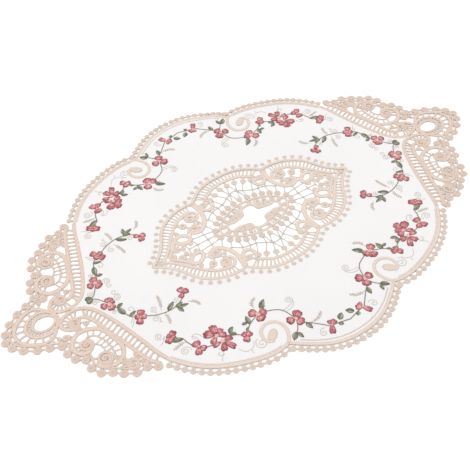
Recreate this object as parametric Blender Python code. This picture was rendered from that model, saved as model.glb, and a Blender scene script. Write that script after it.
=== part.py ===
"""Oval lace doily, 56 x 37 cm, lying flat with its underside on Z = 0.

A plain ground cloth carries a pointed-oval lace medallion in its middle, a picot edging along each
long side and a wide lace piece at each end. Every lace piece laps over the cut edge of the cloth.
X runs along the doily, Y across it, and the origin is the middle of the underside. Metres.
"""

import math

import bmesh
import bpy
from mathutils import Matrix, Vector
from mathutils.geometry import delaunay_2d_cdt

MM = 0.001

# Heights above the surface
CLOTH_TOP = 1.0 * MM
LAP_UNDERSIDE = 1.3 * MM
LACE_TOP = 2.0 * MM

# Seams
TAPE_WIDTH = 4.4 * MM
SEAM_GAP = 0.3 * MM
LAP_BITE = 1.4 * MM
STEP = 9.5 * MM
VOLUTE_STEP = 5.0 * MM
MITRE_LIMIT = 0.5
TIP_GROWTH = 3

# Picots: a narrow neck and a round head on the outer side of a tape
EDGING_PICOT = {"pitch": 7.4 * MM, "reach": 9.0 * MM, "head": 2.6 * MM, "neck": 1.2 * MM, "corners": 3}
MEDALLION_PICOT = {"pitch": 8.6 * MM, "reach": 7.1 * MM, "head": 2.1 * MM, "neck": 0.9 * MM, "corners": 3}

# Middle line of the edging's tape, one quarter of the doily, in millimetres: (x, y)
MIDDLE_SCALLOP = [(0, 175.5), (13, 174.6), (26, 171.0), (38, 165.0), (50, 156.5), (61, 147.5)]
SIDE_SCALLOP = [(61, 147.5), (72, 149.3), (84, 148.5), (98, 145.0), (114, 139.0), (130, 130.5),
                (143, 120.0), (153, 108.5), (160, 98.5)]
# Middle line of the end lace's tape along the cloth, from the edging to the cusp on the long axis
CLOTH_SIDE_OF_WING = [(160, 98.5), (164.5, 86), (168, 73), (171.7, 60.8), (175, 50), (178.8, 38.8),
                      (183.4, 27.2), (189.8, 13.8), (195.5, 7), (202.5, 2.6), (209, 0)]
# Outer rim of the end lace
RIM_OF_WING = [(166, 99.5), (176.5, 92.8), (188.2, 92.2), (196, 87), (203.3, 80.8), (211.3, 75.5),
               (215.8, 68), (216.6, 58.5), (223.8, 50.5), (227.4, 42.5), (229.5, 31.5), (240.8, 24.8),
               (251.5, 20.3), (261.2, 13.8), (267.6, 6.8), (270.3, 0)]
# Round picots outside that rim, the last of them at the tip: (x, y)
END_PICOTS = [(170.2, 102.2), (178.5, 97), (189, 97), (199, 91), (206.5, 84.5), (215.5, 79), (220.7, 69.5),
              (221, 59), (228.5, 53), (232.2, 43.5), (233, 33.2), (243, 28.8), (253.5, 24.5), (264.3, 17.5),
              (271.8, 9), (275, 0)]
END_PICOT_RADIUS = 4.1
# Middle line of the medallion's outer tape
MEDALLION_MIDDLE = [(0, 70.3), (11, 69.8), (20, 68), (28, 64.6), (35, 60), (40, 55.8), (44, 52)]
MEDALLION_SIDE = [(44, 52), (52, 53), (61, 52.4), (71, 49.7), (80, 45), (87, 39.5), (93, 31.5), (98.3, 21.7),
                  (104, 13.6), (111, 6.5), (120, 0)]

# Cut edges of the cloth, from the short axis to the long one
CLOTH_EDGE = (MIDDLE_SCALLOP, SIDE_SCALLOP, CLOTH_SIDE_OF_WING)
MEDALLION_EDGE = (MEDALLION_MIDDLE, MEDALLION_SIDE)

# Volutes: the tape of each side scallop curls inwards at its notch and lies on the cloth
VOLUTE = [(61, 147.5), (56.8, 141.5), (54.3, 134.5), (54.6, 127.5), (58.3, 121.8), (64.5, 119), (71, 120.2),
          (75.8, 124.8), (77.2, 131), (75, 136.5), (70.3, 138.3), (65.8, 136), (65.3, 131.5), (68.5, 129.5)]
VOLUTE_WIDTH = 3.6 * MM

# Medallion's openings. The quatrefoil in the middle is a long slot crossed by a short one:
# (reach from the middle, half width, turn in degrees)
QUATREFOIL_LOBES = [(28.5, 5.2, 0), (17.0, 7.0, 90)]
# Bars of the net from the central frame to the tapes: (inner x, inner y, outer x, outer y)
NET_BARS = [(6, 31, 8, 49.5), (14, 28.5, 22, 45), (22.5, 24, 31, 38.5), (31.5, 19.5, 38, 28.5),
            (39, 14.5, 43.5, 20.5)]
# Openings beside the long axis: (near x, near half height, far x, far half height)
AXIS_OPENINGS = [(47, 10, 56.5, 11), (56.5, 10.5, 68, 8)]
BAR_WIDTH = 2.4 * MM

# End lace's openings in one wing: (x, y, half length, half width, turn in degrees)
WING_OPENINGS = [(193.5, 60, 6.8, 4.2, 100), (199, 44, 6.0, 3.6, 100), (203.5, 23.5, 4.4, 2.6, 125)]
TIP_OPENING = (236, 0, 9.5, 6.2, 0)

# The edging stops short of the end lace where their tapes meet
JOIN = Vector((160, 98.5)) * MM
JOIN_DIRECTION = Vector((0.5, -0.866))
JOIN_GAP = 0.4 * MM
JOIN_REACH = 6.2 * MM

MATERIALS = {
    "cloth": {"colour": (0.93, 0.91, 0.90, 1.0), "roughness": 0.85, "metallic": 0.0},
    "lace": {"colour": (0.80, 0.70, 0.61, 1.0), "roughness": 0.75, "metallic": 0.0},
}


def clear_scene():
    for thing in list(bpy.data.objects):
        bpy.data.objects.remove(thing, do_unlink=True)


def smooth_line(table, step=STEP):
    """Points about step apart on a Catmull-Rom curve through the table's rows, in millimetres."""
    rows = [Vector(row) * MM for row in table]
    rows = [2 * rows[0] - rows[1], *rows, 2 * rows[-1] - rows[-2]]
    line = []
    for before, start, end, after in zip(rows, rows[1:], rows[2:], rows[3:]):
        count = max(1, round((end - start).length / step))
        for k in range(count):
            t = k / count
            line.append(0.5 * (2 * start + (end - before) * t
                               + (2 * before - 5 * start + 4 * end - after) * t ** 2
                               + (3 * start - before - 3 * end + after) * t ** 3))
    line.append(rows[-2])
    return line


def normals(line):
    """Normals on the left of a line, a little longer at a corner so that an offset keeps its distance.

    A line that starts on the short axis starts level.
    """
    sides = []
    for start, end in zip(line, line[1:]):
        along = (end - start).normalized()
        sides.append(Vector((-along.y, along.x)))
    first = Vector((0, 1)) if line[0].x == 0 else sides[0]
    found = [first]
    for before, after in zip(sides, sides[1:]):
        middle = (before + after).normalized()
        found.append(middle / max(middle.dot(before), MITRE_LIMIT))
    found.append(sides[-1])
    return found


def beside(line, distance):
    return [point + normal * distance for point, normal in zip(line, normals(line))]


def ribbon(line, left, right):
    """Outline of a strip that reaches left and right of a line."""
    return beside(line, left) + beside(line, -right)[::-1]


def picots(line, picot, first=0.5):
    """Outlines of picots at an even pitch on the left of a line, the first a share of a pitch in."""
    lengths = [0.0]
    for start, end in zip(line, line[1:]):
        lengths.append(lengths[-1] + (end - start).length)
    count = round(lengths[-1] / picot["pitch"])
    side = normals(line)
    outlines = []
    for number in range(count):
        place = (number + first) * lengths[-1] / count
        k = next(i for i in range(len(line) - 1) if lengths[i + 1] >= place)
        share = (place - lengths[k]) / (lengths[k + 1] - lengths[k])
        foot = line[k].lerp(line[k + 1], share)
        out = side[k].lerp(side[k + 1], share).normalized()
        across = Vector((out.y, -out.x))
        centre = foot + out * (picot["reach"] - picot["head"])
        half_gap = math.asin(min(1.0, picot["neck"] / picot["head"]))
        sweep = 2 * math.pi - 2 * half_gap
        head = []
        for corner in range(picot["corners"]):
            angle = half_gap + sweep * corner / (picot["corners"] - 1)
            head.append(centre + (across * math.sin(angle) - out * math.cos(angle)) * picot["head"])
        root = foot + out * TAPE_WIDTH / 4
        outlines.append([root + across * picot["neck"], *head, root - across * picot["neck"]])
    return outlines


def ellipse(x, y, half_length, half_width, turn=0.0, corners=12):
    """An ellipse from sizes in millimetres and a turn in degrees."""
    rim = []
    for k in range(corners):
        angle = 2 * math.pi * k / corners
        point = Vector((half_length * math.cos(angle), half_width * math.sin(angle)))
        rim.append((Vector((x, y)) + Matrix.Rotation(math.radians(turn), 2) @ point) * MM)
    return rim


def slot(reach, half_width, turn, corners=6):
    """A slot with round ends, centred on the origin, from millimetres and degrees."""
    end = []
    for k in range(corners):
        angle = math.pi * (k / (corners - 1) - 0.5)
        end.append(Vector((reach - half_width + half_width * math.cos(angle), half_width * math.sin(angle))))
    rim = end + [-point for point in end]
    return [(Matrix.Rotation(math.radians(turn), 2) @ point) * MM for point in rim]


def mirrored(outlines, across_x=False, across_y=False):
    """Copies of outlines mirrored in the long axis (across_y) or the short one (across_x)."""
    sign = Vector((-1 if across_x else 1, -1 if across_y else 1))
    return [[point * sign for point in outline] for outline in outlines]


def anticlockwise(outline):
    """The outline in the order that delaunay_2d_cdt takes as its inside on the left."""
    twice_area = sum(a.x * b.y - b.x * a.y for a, b in zip(outline, outline[1:] + outline[:1]))
    return outline if twice_area > 0 else outline[::-1]


def joined_outline(solids, openings):
    """Rim edges of the union of the solid outlines less the openings, as (points, edges)."""
    points = []
    loops = []
    for outline in (*solids, *openings):
        loops.append(list(range(len(points), len(points) + len(outline))))
        points += anticlockwise(outline)
    verts, _, faces, _, _, sources = delaunay_2d_cdt(points, [], loops, 0, 1e-7, True)
    uses = {}
    for face, inside in zip(faces, sources):
        if inside and max(inside) < len(solids):
            for start, end in zip(face, face[1:] + face[:1]):
                uses[frozenset((start, end))] = uses.get(frozenset((start, end)), 0) + 1
    return verts, [tuple(edge) for edge, count in uses.items() if count == 1]


def plate(name, solids, openings, bottom, top, material):
    """A flat plate with the joined outline of the solids, open at the openings."""
    points, edges = joined_outline(solids, openings)
    shape = bmesh.new()
    verts = {}
    for edge in edges:
        for index in edge:
            if index not in verts:
                verts[index] = shape.verts.new((*points[index], bottom))
    rim = [shape.edges.new((verts[a], verts[b])) for a, b in edges]
    drop_straight_corners(shape, list(verts.values()))
    rim = list(shape.edges)
    bmesh.ops.triangle_fill(shape, use_beauty=True, use_dissolve=False, edges=rim)
    raised = bmesh.ops.extrude_face_region(shape, geom=list(shape.faces))
    upper = [item for item in raised["geom"] if isinstance(item, bmesh.types.BMVert)]
    bmesh.ops.translate(shape, vec=(0, 0, top - bottom), verts=upper)
    bmesh.ops.recalc_face_normals(shape, faces=list(shape.faces))
    mesh = bpy.data.meshes.new(name)
    shape.to_mesh(mesh)
    shape.free()
    if material:
        mesh.materials.append(material)
    thing = bpy.data.objects.new(name, mesh)
    bpy.context.scene.collection.objects.link(thing)
    return thing


def drop_straight_corners(shape, corners, least=math.radians(0.5)):
    """Dissolves rim corners where the rim runs straight on."""
    straight = []
    for corner in corners:
        if len(corner.link_edges) == 2:
            one, other = (edge.other_vert(corner).co - corner.co for edge in corner.link_edges)
            if math.pi - one.angle(other) < least:
                straight.append(corner)
    bmesh.ops.dissolve_verts(shape, verts=straight)


def union(target, tool):
    """Joins tool to target and hides tool, which is then only a guide."""
    joint = target.modifiers.new("join", "BOOLEAN")
    joint.operation = "UNION"
    joint.solver = "EXACT"
    joint.object = tool
    tool.hide_render = True
    tool.display_type = "WIRE"


def finish(name):
    """A plain material for one node."""
    look = MATERIALS[name]
    material = bpy.data.materials.new(name)
    material.use_nodes = True
    shader = material.node_tree.nodes["Principled BSDF"]
    shader.inputs["Base Color"].default_value = look["colour"]
    shader.inputs["Roughness"].default_value = look["roughness"]
    shader.inputs["Metallic"].default_value = look["metallic"]
    return material


def whole_oval(quarter):
    """A closed outline from a line that runs from the short axis to the long one."""
    far_left = mirrored([quarter], across_x=True)[0][::-1]
    near_right = mirrored([quarter], across_y=True)[0][::-1]
    near_left = mirrored([quarter], across_x=True, across_y=True)[0]
    return far_left[:-1] + quarter[:-1] + near_right[:-1] + near_left[:-1]


def on_both_sides(outlines):
    return outlines + mirrored(outlines, across_x=True)


def in_both_wings(outlines):
    return outlines + mirrored(outlines, across_y=True)


def in_all_quarters(outlines):
    return on_both_sides(outlines) + mirrored(on_both_sides(outlines), across_y=True)


def drawn_in(outline, distance):
    """The outline with each corner moved towards its middle."""
    middle = sum(outline, Vector((0, 0))) / len(outline)
    return [point + (middle - point).normalized() * distance for point in outline]


def past_join(sign, clearance=JOIN_GAP / 2):
    """The region on one side of the join between edging and end lace, and a clearance before it."""
    along = JOIN_DIRECTION * sign
    across = Vector((along.y, -along.x)) * JOIN_REACH
    near = JOIN - along * clearance
    far = near + along * JOIN_REACH
    return [near - across, near + across, far + across, far - across]


def grown_oval(tables, grow):
    """The closed outline of a quarter's tables, grown by a distance all round."""
    quarter = smooth_line(tables[0])
    for table in tables[1:]:
        quarter += smooth_line(table)[1:]
    tip = Vector((quarter[-1].x + TIP_GROWTH * grow, 0))
    return whole_oval([*beside(quarter, grow)[:-1], tip])


def make_ground_cloth():
    outline = grown_oval(CLOTH_EDGE, 0.0)
    opening = grown_oval(MEDALLION_EDGE, SEAM_GAP)
    return plate("ground_cloth", [outline], [opening], 0.0, CLOTH_TOP, finish("cloth"))


def make_medallion():
    lines = [smooth_line(table) for table in MEDALLION_EDGE]
    rim = grown_oval(MEDALLION_EDGE, 0.0)
    body = plate("medallion_lace", [rim], medallion_openings(), 0.0, LACE_TOP, finish("lace"))
    tape = [ribbon(line, TAPE_WIDTH / 2, TAPE_WIDTH / 2) for line in lines]
    heads = picots(lines[0], MEDALLION_PICOT) + picots(lines[1], MEDALLION_PICOT, first=0.25)
    lap = plate("medallion_lap", in_all_quarters(tape + heads), [], LAP_UNDERSIDE, LACE_TOP, None)
    union(body, lap)
    return body


def medallion_openings():
    """The quatrefoil and the cells of the net around it."""
    bars = [(Vector(row[:2]) * MM, Vector(row[2:]) * MM) for row in NET_BARS]
    first = mirrored([bars[0]], across_x=True)[0]
    middle = drawn_in([first[0], bars[0][0], bars[0][1], first[1]], BAR_WIDTH)
    cells = []
    for one, other in zip(bars, bars[1:]):
        cells.append(drawn_in([one[0], other[0], other[1], one[1]], BAR_WIDTH))
    for near, near_half, far, far_half in AXIS_OPENINGS:
        corners = [(near, 0), (far, 0), (far, far_half), (near, near_half)]
        cells.append(drawn_in([Vector(corner) * MM for corner in corners], BAR_WIDTH / 2))
    lobes = [slot(*row) for row in QUATREFOIL_LOBES]
    return [*lobes, middle, *mirrored([middle], across_y=True), *in_all_quarters(cells)]


def make_edging(name, near_side):
    """The narrow edging of one long side, with its two volutes."""
    lines = [smooth_line(MIDDLE_SCALLOP), smooth_line(SIDE_SCALLOP)]
    heads = [head for line in lines for head in picots(line, EDGING_PICOT)]
    strips = [ribbon(line, TAPE_WIDTH / 2, 0.0) for line in lines]
    laps = [ribbon(line, LAP_BITE, TAPE_WIDTH / 2) for line in lines]
    curl = smooth_line(VOLUTE, step=VOLUTE_STEP)
    volute = ribbon(curl, VOLUTE_WIDTH / 2, VOLUTE_WIDTH / 2)
    outer = on_both_sides(strips + heads)
    upper = on_both_sides(laps + [volute])
    ends = on_both_sides([past_join(1)]) + [grown_oval(CLOTH_EDGE, SEAM_GAP)]
    lap_ends = on_both_sides([past_join(1, LAP_BITE)])
    if near_side:
        groups = (outer, upper, ends, lap_ends)
        outer, upper, ends, lap_ends = (mirrored(group, across_y=True) for group in groups)
    body = plate(name, outer, ends, 0.0, LACE_TOP, finish("lace"))
    union(body, plate(name + "_lap", upper, lap_ends, LAP_UNDERSIDE, LACE_TOP, None))
    return body


def make_end_lace(name, left):
    """The wide lace at one end: two wings and the tip lobe between them."""
    seam = smooth_line(CLOTH_SIDE_OF_WING)
    rim = smooth_line(RIM_OF_WING)
    wing = [*seam, *rim[::-1]]
    band = ribbon(rim, TAPE_WIDTH / 2, TAPE_WIDTH / 2)
    heads = [ellipse(x, y, END_PICOT_RADIUS, END_PICOT_RADIUS, corners=8) for x, y in END_PICOTS]
    openings = [ellipse(*row) for row in WING_OPENINGS]
    solids = in_both_wings([wing, band] + heads[:-1]) + heads[-1:]
    cuts = in_both_wings(openings + [past_join(-1)])
    cuts += [ellipse(*TIP_OPENING), grown_oval(CLOTH_EDGE, SEAM_GAP)]
    laps = in_both_wings([ribbon(seam, LAP_BITE, TAPE_WIDTH / 2)])
    lap_ends = in_both_wings([past_join(-1, LAP_BITE)])
    if left:
        groups = (solids, cuts, laps, lap_ends)
        solids, cuts, laps, lap_ends = (mirrored(group, across_x=True) for group in groups)
    body = plate(name, solids, cuts, 0.0, LACE_TOP, finish("lace"))
    union(body, plate(name + "_lap", laps, lap_ends, LAP_UNDERSIDE, LACE_TOP, None))
    return body


def main():
    clear_scene()
    make_ground_cloth()
    make_medallion()
    make_edging("edging_back", near_side=False)
    make_edging("edging_front", near_side=True)
    make_end_lace("end_lace_left", left=True)
    make_end_lace("end_lace_right", left=False)


main()
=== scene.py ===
"""Lace doily: a scalloped white cloth with tape-lace edging, wide lace ends, a medallion and rose garlands.

Plan tables are in millimetres for one quarter of the doily, with X along it and Y across it. Each piece is
worked once in that quarter, mirrored into the others and laid on the surface. Objects are in metres.
"""

import math
import random
from types import SimpleNamespace

import bmesh
import bpy
import numpy as np
from bpy.props import FloatProperty, FloatVectorProperty, PointerProperty
from bpy.types import Operator, Panel, PropertyGroup
from mathutils import Matrix, Vector


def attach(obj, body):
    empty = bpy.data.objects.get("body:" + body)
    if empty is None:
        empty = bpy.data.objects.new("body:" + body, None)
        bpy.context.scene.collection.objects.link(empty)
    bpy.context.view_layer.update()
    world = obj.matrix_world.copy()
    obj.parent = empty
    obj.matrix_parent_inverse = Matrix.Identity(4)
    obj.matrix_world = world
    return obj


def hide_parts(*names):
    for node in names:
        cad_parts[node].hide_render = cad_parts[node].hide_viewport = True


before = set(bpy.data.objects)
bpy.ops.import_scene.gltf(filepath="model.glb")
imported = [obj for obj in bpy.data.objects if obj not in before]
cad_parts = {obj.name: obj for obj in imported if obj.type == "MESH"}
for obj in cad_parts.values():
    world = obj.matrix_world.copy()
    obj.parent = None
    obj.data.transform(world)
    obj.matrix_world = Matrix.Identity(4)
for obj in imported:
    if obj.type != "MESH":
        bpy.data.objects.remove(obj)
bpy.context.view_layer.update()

bl_info = {
    "name": "Lace Doily",
    "version": (1, 0, 0),
    "blender": (4, 5, 0),
    "location": "3D View > Sidebar > Doily",
    "description": "Works an oval lace doily with an embroidered cloth around its packed frame",
    "category": "Add Mesh",
}

MM = 0.001
THREAD_MAP = "Thread"
SHADE = "shade"
QUARTERS = [(1, 1), (-1, 1), (-1, -1), (1, -1)]

# Finishes of a lace piece, by their place in its list, and the one finish of an embroidered piece
TAPE, CORD, WHEEL, NET = 0, 1, 2, 3
STITCHES = 0

# Heights in millimetres at which the underside of a piece lies
ON_TABLE = 0.08
ON_SEAM = 0.34
OVER_SEAM = 0.44
STITCHED_LOW = 0.45
STITCHED_IN = 0.46
ON_CLOTH = 0.5

# Sizes in millimetres
LINE_STEP = 1.3
BAR_STEP = 1.6
BAR_ARCH = 0.1
WIDEST_EDGE_CORD = 0.55
COIL_GAP = 0.8
NET_HEIGHT = 0.42
FINE_CORD = 0.35
MEDALLION_PICOT_HEIGHT = 0.5
EDGING_PICOT_HEIGHT = 0.65
END_PICOT_HEIGHT = 0.75
MIDDLE_LADDER_PITCH = 4.6
SIDE_LADDER_PITCH = 4.4
FRAME_LADDER_PITCH = 9.0
WING_LADDER_PITCH = 5.2
OUTER_LOBE_PITCH = 8.0
INNER_LOBE_PITCH = 4.2
WIDE_PETAL = 8.2
SMALLEST_THROAT = 1.2
PETAL_LAP = 0.06
SEGMENT_LAP = 0.05
HALF_MIDRIB = 0.12
FROND_PITCH = 1.5
TENDRIL_EYE = 0.8
TAIL_STEP = 1.5

# Turn of a tendril's tail at each of its steps, in degrees
TAIL_BEND = 22
# Angle between the stitches of a volute's eye and its length, in degrees
EYE_STITCHES = 70
# Height of a bar, its width at its feet and how much it narrows in its middle, as shares of its width
BAR_FLATNESS = 0.2
BAR_FOOT, BAR_WAIST = 1.15, 0.3
# How far the ends of a ladder's bars move from straight across towards an even spread
LADDER_EVENNESS = 0.25

# How finely cords and the cloth are divided
CORD_SIDES = 6
CLOTH_ROWS = 40
MIDDLE_RIBS = 30
SIDE_RIBS = 100

# How much darker the edge cords of a tape are, and how much paler its middle
TAPE_CONTRAST = 0.16
# Painted highlight and shade on a wheel, by row of its dome: paler on the rim's top, darker at its foot and
# in the dimple
WHEEL_SHADE_AND_HIGHLIGHT = (-0.1, -0.05, 0.0, 0.1, -0.1, -0.15)

# Domes of padded work from the rim inwards: (share of the way out, share of the height)
WHEEL_DOME = [(0.92, 0.0), (1.0, 0.4), (0.9, 0.85), (0.68, 1.0), (0.3, 0.78)]
COIL_DOME = [(0.96, 0.0), (1.0, 0.3), (0.9, 0.55)]
# Domes from the rim inwards: (share of the way out, height)
VOLUTE_DOME = [(0.95, 0.0), (1.0, 0.3), (0.88, 0.6), (0.62, 0.72), (0.3, 0.66)]
PETAL_DOME = [(1.0, 0.0), (0.99, 0.24), (0.8, 0.44), (0.56, 0.52), (0.3, 0.5)]
THROAT_DOME = [(1.0, 0.2), (0.95, 0.5), (0.5, 0.6)]
LEAF_DOME = [(1.0, 0.0), (0.95, 0.34), (0.6, 0.48)]
FROND_DOME = [(1.0, 0.0), (0.9, 0.3), (0.4, 0.4)]


# ---------------------------------------------------------------- plan of the seams and the edging
MIDDLE_SCALLOP = [(0, 175.5), (13, 174.6), (26, 171.0), (38, 165.0), (50, 156.5), (61, 147.5)]
SIDE_SCALLOP = [(61, 147.5), (72, 149.3), (84, 148.5), (98, 145.0), (114, 139.0), (130, 130.5),
                (143, 120.0), (153, 108.5), (160, 98.5)]
CLOTH_SIDE_OF_WING = [(160, 98.5), (164.5, 86), (168, 73), (171.7, 60.8), (175, 50), (178.8, 38.8),
                      (183.4, 27.2), (189.8, 13.8), (195.5, 7), (202.5, 2.6), (209, 0)]
MIDDLE_LINING = [(0, 170.9), (13, 170.0), (26, 166.3), (38, 160.2), (46, 154.6), (51, 150.6)]
LINING_INSET = 2.7
VOLUTE = [(61, 147.5), (56.8, 141.5), (54.3, 134.5), (54.6, 127.5), (58.3, 121.8), (64.5, 119), (71, 120.2),
          (75.8, 124.8), (77.2, 131), (75, 136.5), (70.3, 138)]
# Eye: (x, y, half length, half width, turn in degrees)
VOLUTE_EYE = (68.2, 132.4, 6.8, 4.2, 42)

EDGING_PICOTS = {"pitch": 7.1, "offset": 5.9, "radius": 2.8, "stalk": 2.3, "link": 1.9}
MEDALLION_PICOTS = {"pitch": 8.2, "offset": 5.4, "radius": 2.3, "stalk": 1.6, "link": 0.0}
FRAME_PICOTS = {"pitch": 8.0, "offset": 5.0, "radius": 3.4, "stalk": 2.2, "link": 0.0}

# ---------------------------------------------------------------- plan of the medallion
MEDALLION_MIDDLE = [(0, 70.3), (11, 69.8), (20, 68), (28, 64.6), (35, 60), (40, 55.8), (44, 52)]
MEDALLION_SIDE = [(44, 52), (52, 53), (61, 52.4), (71, 49.7), (80, 45), (87, 39.5), (93, 31.5),
                  (98.3, 21.7), (104, 13.6), (111, 6.5), (120, 0)]
INNER_MIDDLE = [(0, 60.5), (8, 60), (15, 58.5), (20, 56), (25, 52.8), (30.5, 49)]
INNER_SIDE = [(54.6, 30.2), (50.2, 31.8), (48.2, 36.6), (50.2, 41.4), (56, 43), (62, 42), (69, 39.4),
              (75, 35.2), (80, 30.2), (85, 24.8), (90, 18.6), (95, 12.4), (100.6, 6.2), (106, 1.8),
              (108.6, 0)]
NOTCH_SCROLL = [(43.6, 51), (41.3, 45.5), (39.7, 40), (37, 35.8), (33, 34), (28.8, 35.5), (26.8, 40),
                (27.6, 45), (30.8, 48.5)]
BAND = [(44.6, 51), (43.4, 43.5), (42.8, 36), (44, 28.5), (47.4, 21.8), (52.2, 16.6), (58, 14.4),
        (63.8, 16.3), (66.2, 20.6), (64, 24.8)]
# Loop: (x, y, half length, half width, turn in degrees)
LOOP = (77.4, 14.6, 7.9, 5.3, 28)
FRAME_RIM = [(0, 22.4), (8, 21.8), (15, 20.4), (22, 17.9), (28, 14.6), (34, 10.2), (38.5, 5.4), (40.3, 0)]
QUATREFOIL = [(0, 16.6), (5, 16), (8.0, 12.8), (9.6, 8.4), (13.5, 5.8), (17.4, 5.2), (20.8, 4.3),
              (23.6, 4.3), (26.6, 5.4), (29.4, 5.0), (31.2, 2.8), (31.7, 0)]
# Wheels between the quatrefoil and the rim: (x, y, radius)
FRAME_WHEELS = [(11.8, 9.4, 4.6), (21.4, 7.8, 4.1), (28.4, 9.2, 2.7), (35.0, 4.6, 2.8), (6.2, 18.4, 2.3),
                (14.8, 16.4, 2.2), (21.6, 14.2, 2.0), (29.6, 13.2, 1.8)]
NET_RING = [(0, 42), (5, 40.5), (10, 37.5), (14, 35), (19, 32.3), (25, 31), (31, 30), (37, 27), (42, 23),
            (46, 22.6)]
# Bars of the net: (inner x, inner y, outer x, outer y)
NET_BARS = [(1.6, 29.6, 5, 40.5), (7.8, 28.6, 5, 40.5), (5, 40.5, 0.8, 52), (5, 40.5, 8.6, 51.4),
            (9.2, 28.4, 10, 37.5), (10, 37.5, 17, 47.4), (17.2, 26, 19, 32.3), (19, 32.3, 25.2, 44.8),
            (25, 31, 28.6, 36.2), (24.8, 24, 25, 31), (32.2, 20, 33, 28.8), (38.6, 15, 42, 23),
            (33, 28.8, 36.6, 34.6), (45.6, 6, 56.2, 7.8), (56, 0, 57, 14.4), (56.2, 7.8, 71, 9.2),
            (44.6, 7.4, 49.6, 17.6), (68, 0, 71, 9.2), (78.6, 0, 79.6, 7), (84.6, 4, 88, 5.4),
            (74.6, 6, 79, 8)]
# Bars that cross the long axis of the medallion: (x, x)
AXIS_BARS = [(47.6, 56), (56, 68), (68, 78.6)]
# Round dots of the net: (x, y, radius)
NET_DOTS = [(9, 52.7, 3.3), (18, 48.9, 3.3), (25.5, 46, 3.1), (13.2, 10.2, 4.4), (89.6, 6.2, 4.2),
            (79, 24.5, 2.6), (35.4, 43.6, 4.0), (83.4, 3.2, 2.6), (79.8, 8.2, 2.8), (73.6, 5.4, 2.6),
            (52.4, 25.4, 2.2)]
# Dots on the short axis: (y, radius)
MIDDLE_DOTS = [(53.6, 3.2), (28.6, 3.1)]
# Dots on the long axis: (x, radius)
TIP_DOTS = [(97.4, 4.4), (112.9, 2.7), (46.2, 3.0)]
TIP_TAPE = [(82.4, 21), (87.4, 14.8), (92.4, 8.8), (98.6, 3.6)]
# Eyes of the scrolls: (x, y, radius, direction of the winding)
SCROLL_EYES = [(59.4, 21.2, 5.2, 1), (57.0, 35.6, 6.0, -1), (68.4, 30, 4.2, 1)]

# ---------------------------------------------------------------- plan of one wing of the end lace
RIM_OF_WING = [(166, 99.5), (176.5, 92.8), (188.2, 92.2), (196, 87), (203.3, 80.8), (211.3, 75.5),
               (215.8, 68), (216.6, 58.5), (223.8, 50.5), (227.4, 42.5), (229.5, 31.5), (240.8, 24.8),
               (251.5, 20.3), (261.2, 13.8), (267.6, 6.8), (270.3, 0)]
# Centres of the round picots
END_PICOTS = [(170.2, 102.2), (178.5, 97), (189, 97), (199, 91), (206.5, 84.5), (215.5, 79), (220.7, 69.5),
              (221, 59), (228.5, 53), (232.2, 43.5), (233, 33.2), (243, 28.8), (253.5, 24.5), (264.3, 17.5),
              (271.8, 9), (275, 0)]
END_PICOT_RADIUS = 4.1
SEAM_TAPE = [*CLOTH_SIDE_OF_WING[:-2], (202.5, 2.9), (210, 2.1), (218, 3.8), (223.6, 8.6), (224.2, 15),
             (219.6, 20.6), (213, 22.6)]
LADDER_TAPE = [(166, 101), (173, 92), (178, 79), (182, 66), (184.8, 58), (188.8, 47), (192, 36.5),
               (195.8, 24), (200.6, 16), (207, 12)]
ARCH = [(213.6, 67), (210.6, 73.6), (204, 77.4), (197, 77.6), (190.8, 73.4), (187.4, 67.5), (186.9, 61),
        (187.8, 55.5), (189.8, 49.4), (192.2, 41.4), (196.6, 34.2), (202.6, 30.4), (209.9, 28.4),
        (217.5, 29.6), (223.3, 34.8), (225.4, 41.6), (223.5, 48.6), (217.5, 52.4), (210.5, 51.8)]
# Eyes: (x, y, radius, direction of the winding)
WING_EYES = [(205.6, 67.3, 7.9, 1), (213.4, 45.0, 7.0, 1), (212.2, 16.6, 6.2, -1), (187.0, 86, 6.3, 1)]
# Bars from the curl of the seam tape to its eye: how many, the first one's share of the tape, their step
CURL_BARS = (7, 0.73, 0.036)
# Shares of the seam tape where it starts to come down off the cloth's edge and where it is down
SEAM_LEAVES, SEAM_LANDS = 0.7, 0.8
# Small wheels: (x, y, radius)
WING_DOTS = [(225.6, 27, 3.8), (197.4, 84.6, 2.2), (216.6, 57.2, 2.4), (180.6, 78.5, 2.6),
             (193.5, 80.8, 2.6), (178.6, 88.6, 2.3), (212.4, 25.4, 3.4), (206, 78.2, 2.6),
             (203.4, 22.4, 2.8), (231.6, 24.8, 2.2)]
# The cord inside the arch, round the eyes
WING_RING = [(198, 76.6), (196.4, 70), (195.6, 62), (196.2, 54), (198.4, 46.5), (201.6, 41), (206, 38),
             (211, 37.8)]
WING_CORD = [(203, 63), (202, 57.4), (203.4, 51.6), (207.4, 47)]
# The lobe at the tip, from the wing's side to the long axis
LOBE_OUTER = [(222.8, 0), (223.8, 4.0), (226.4, 8.6), (230.8, 14.4), (236.6, 20), (244.3, 21), (252, 17.8),
              (259.4, 12.6), (263.8, 6.6), (265, 0)]
LOBE_MIDDLE = [(226.6, 8.8), (230.4, 12.2), (235.4, 13.8), (241.8, 13.6), (249, 10.4), (253.2, 4.8),
               (254.4, 0)]
LOBE_INNER = [(225, 0), (227.4, 4.8), (232.4, 7.8), (238.6, 8.4), (244.3, 6.4), (247.6, 0)]

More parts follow.
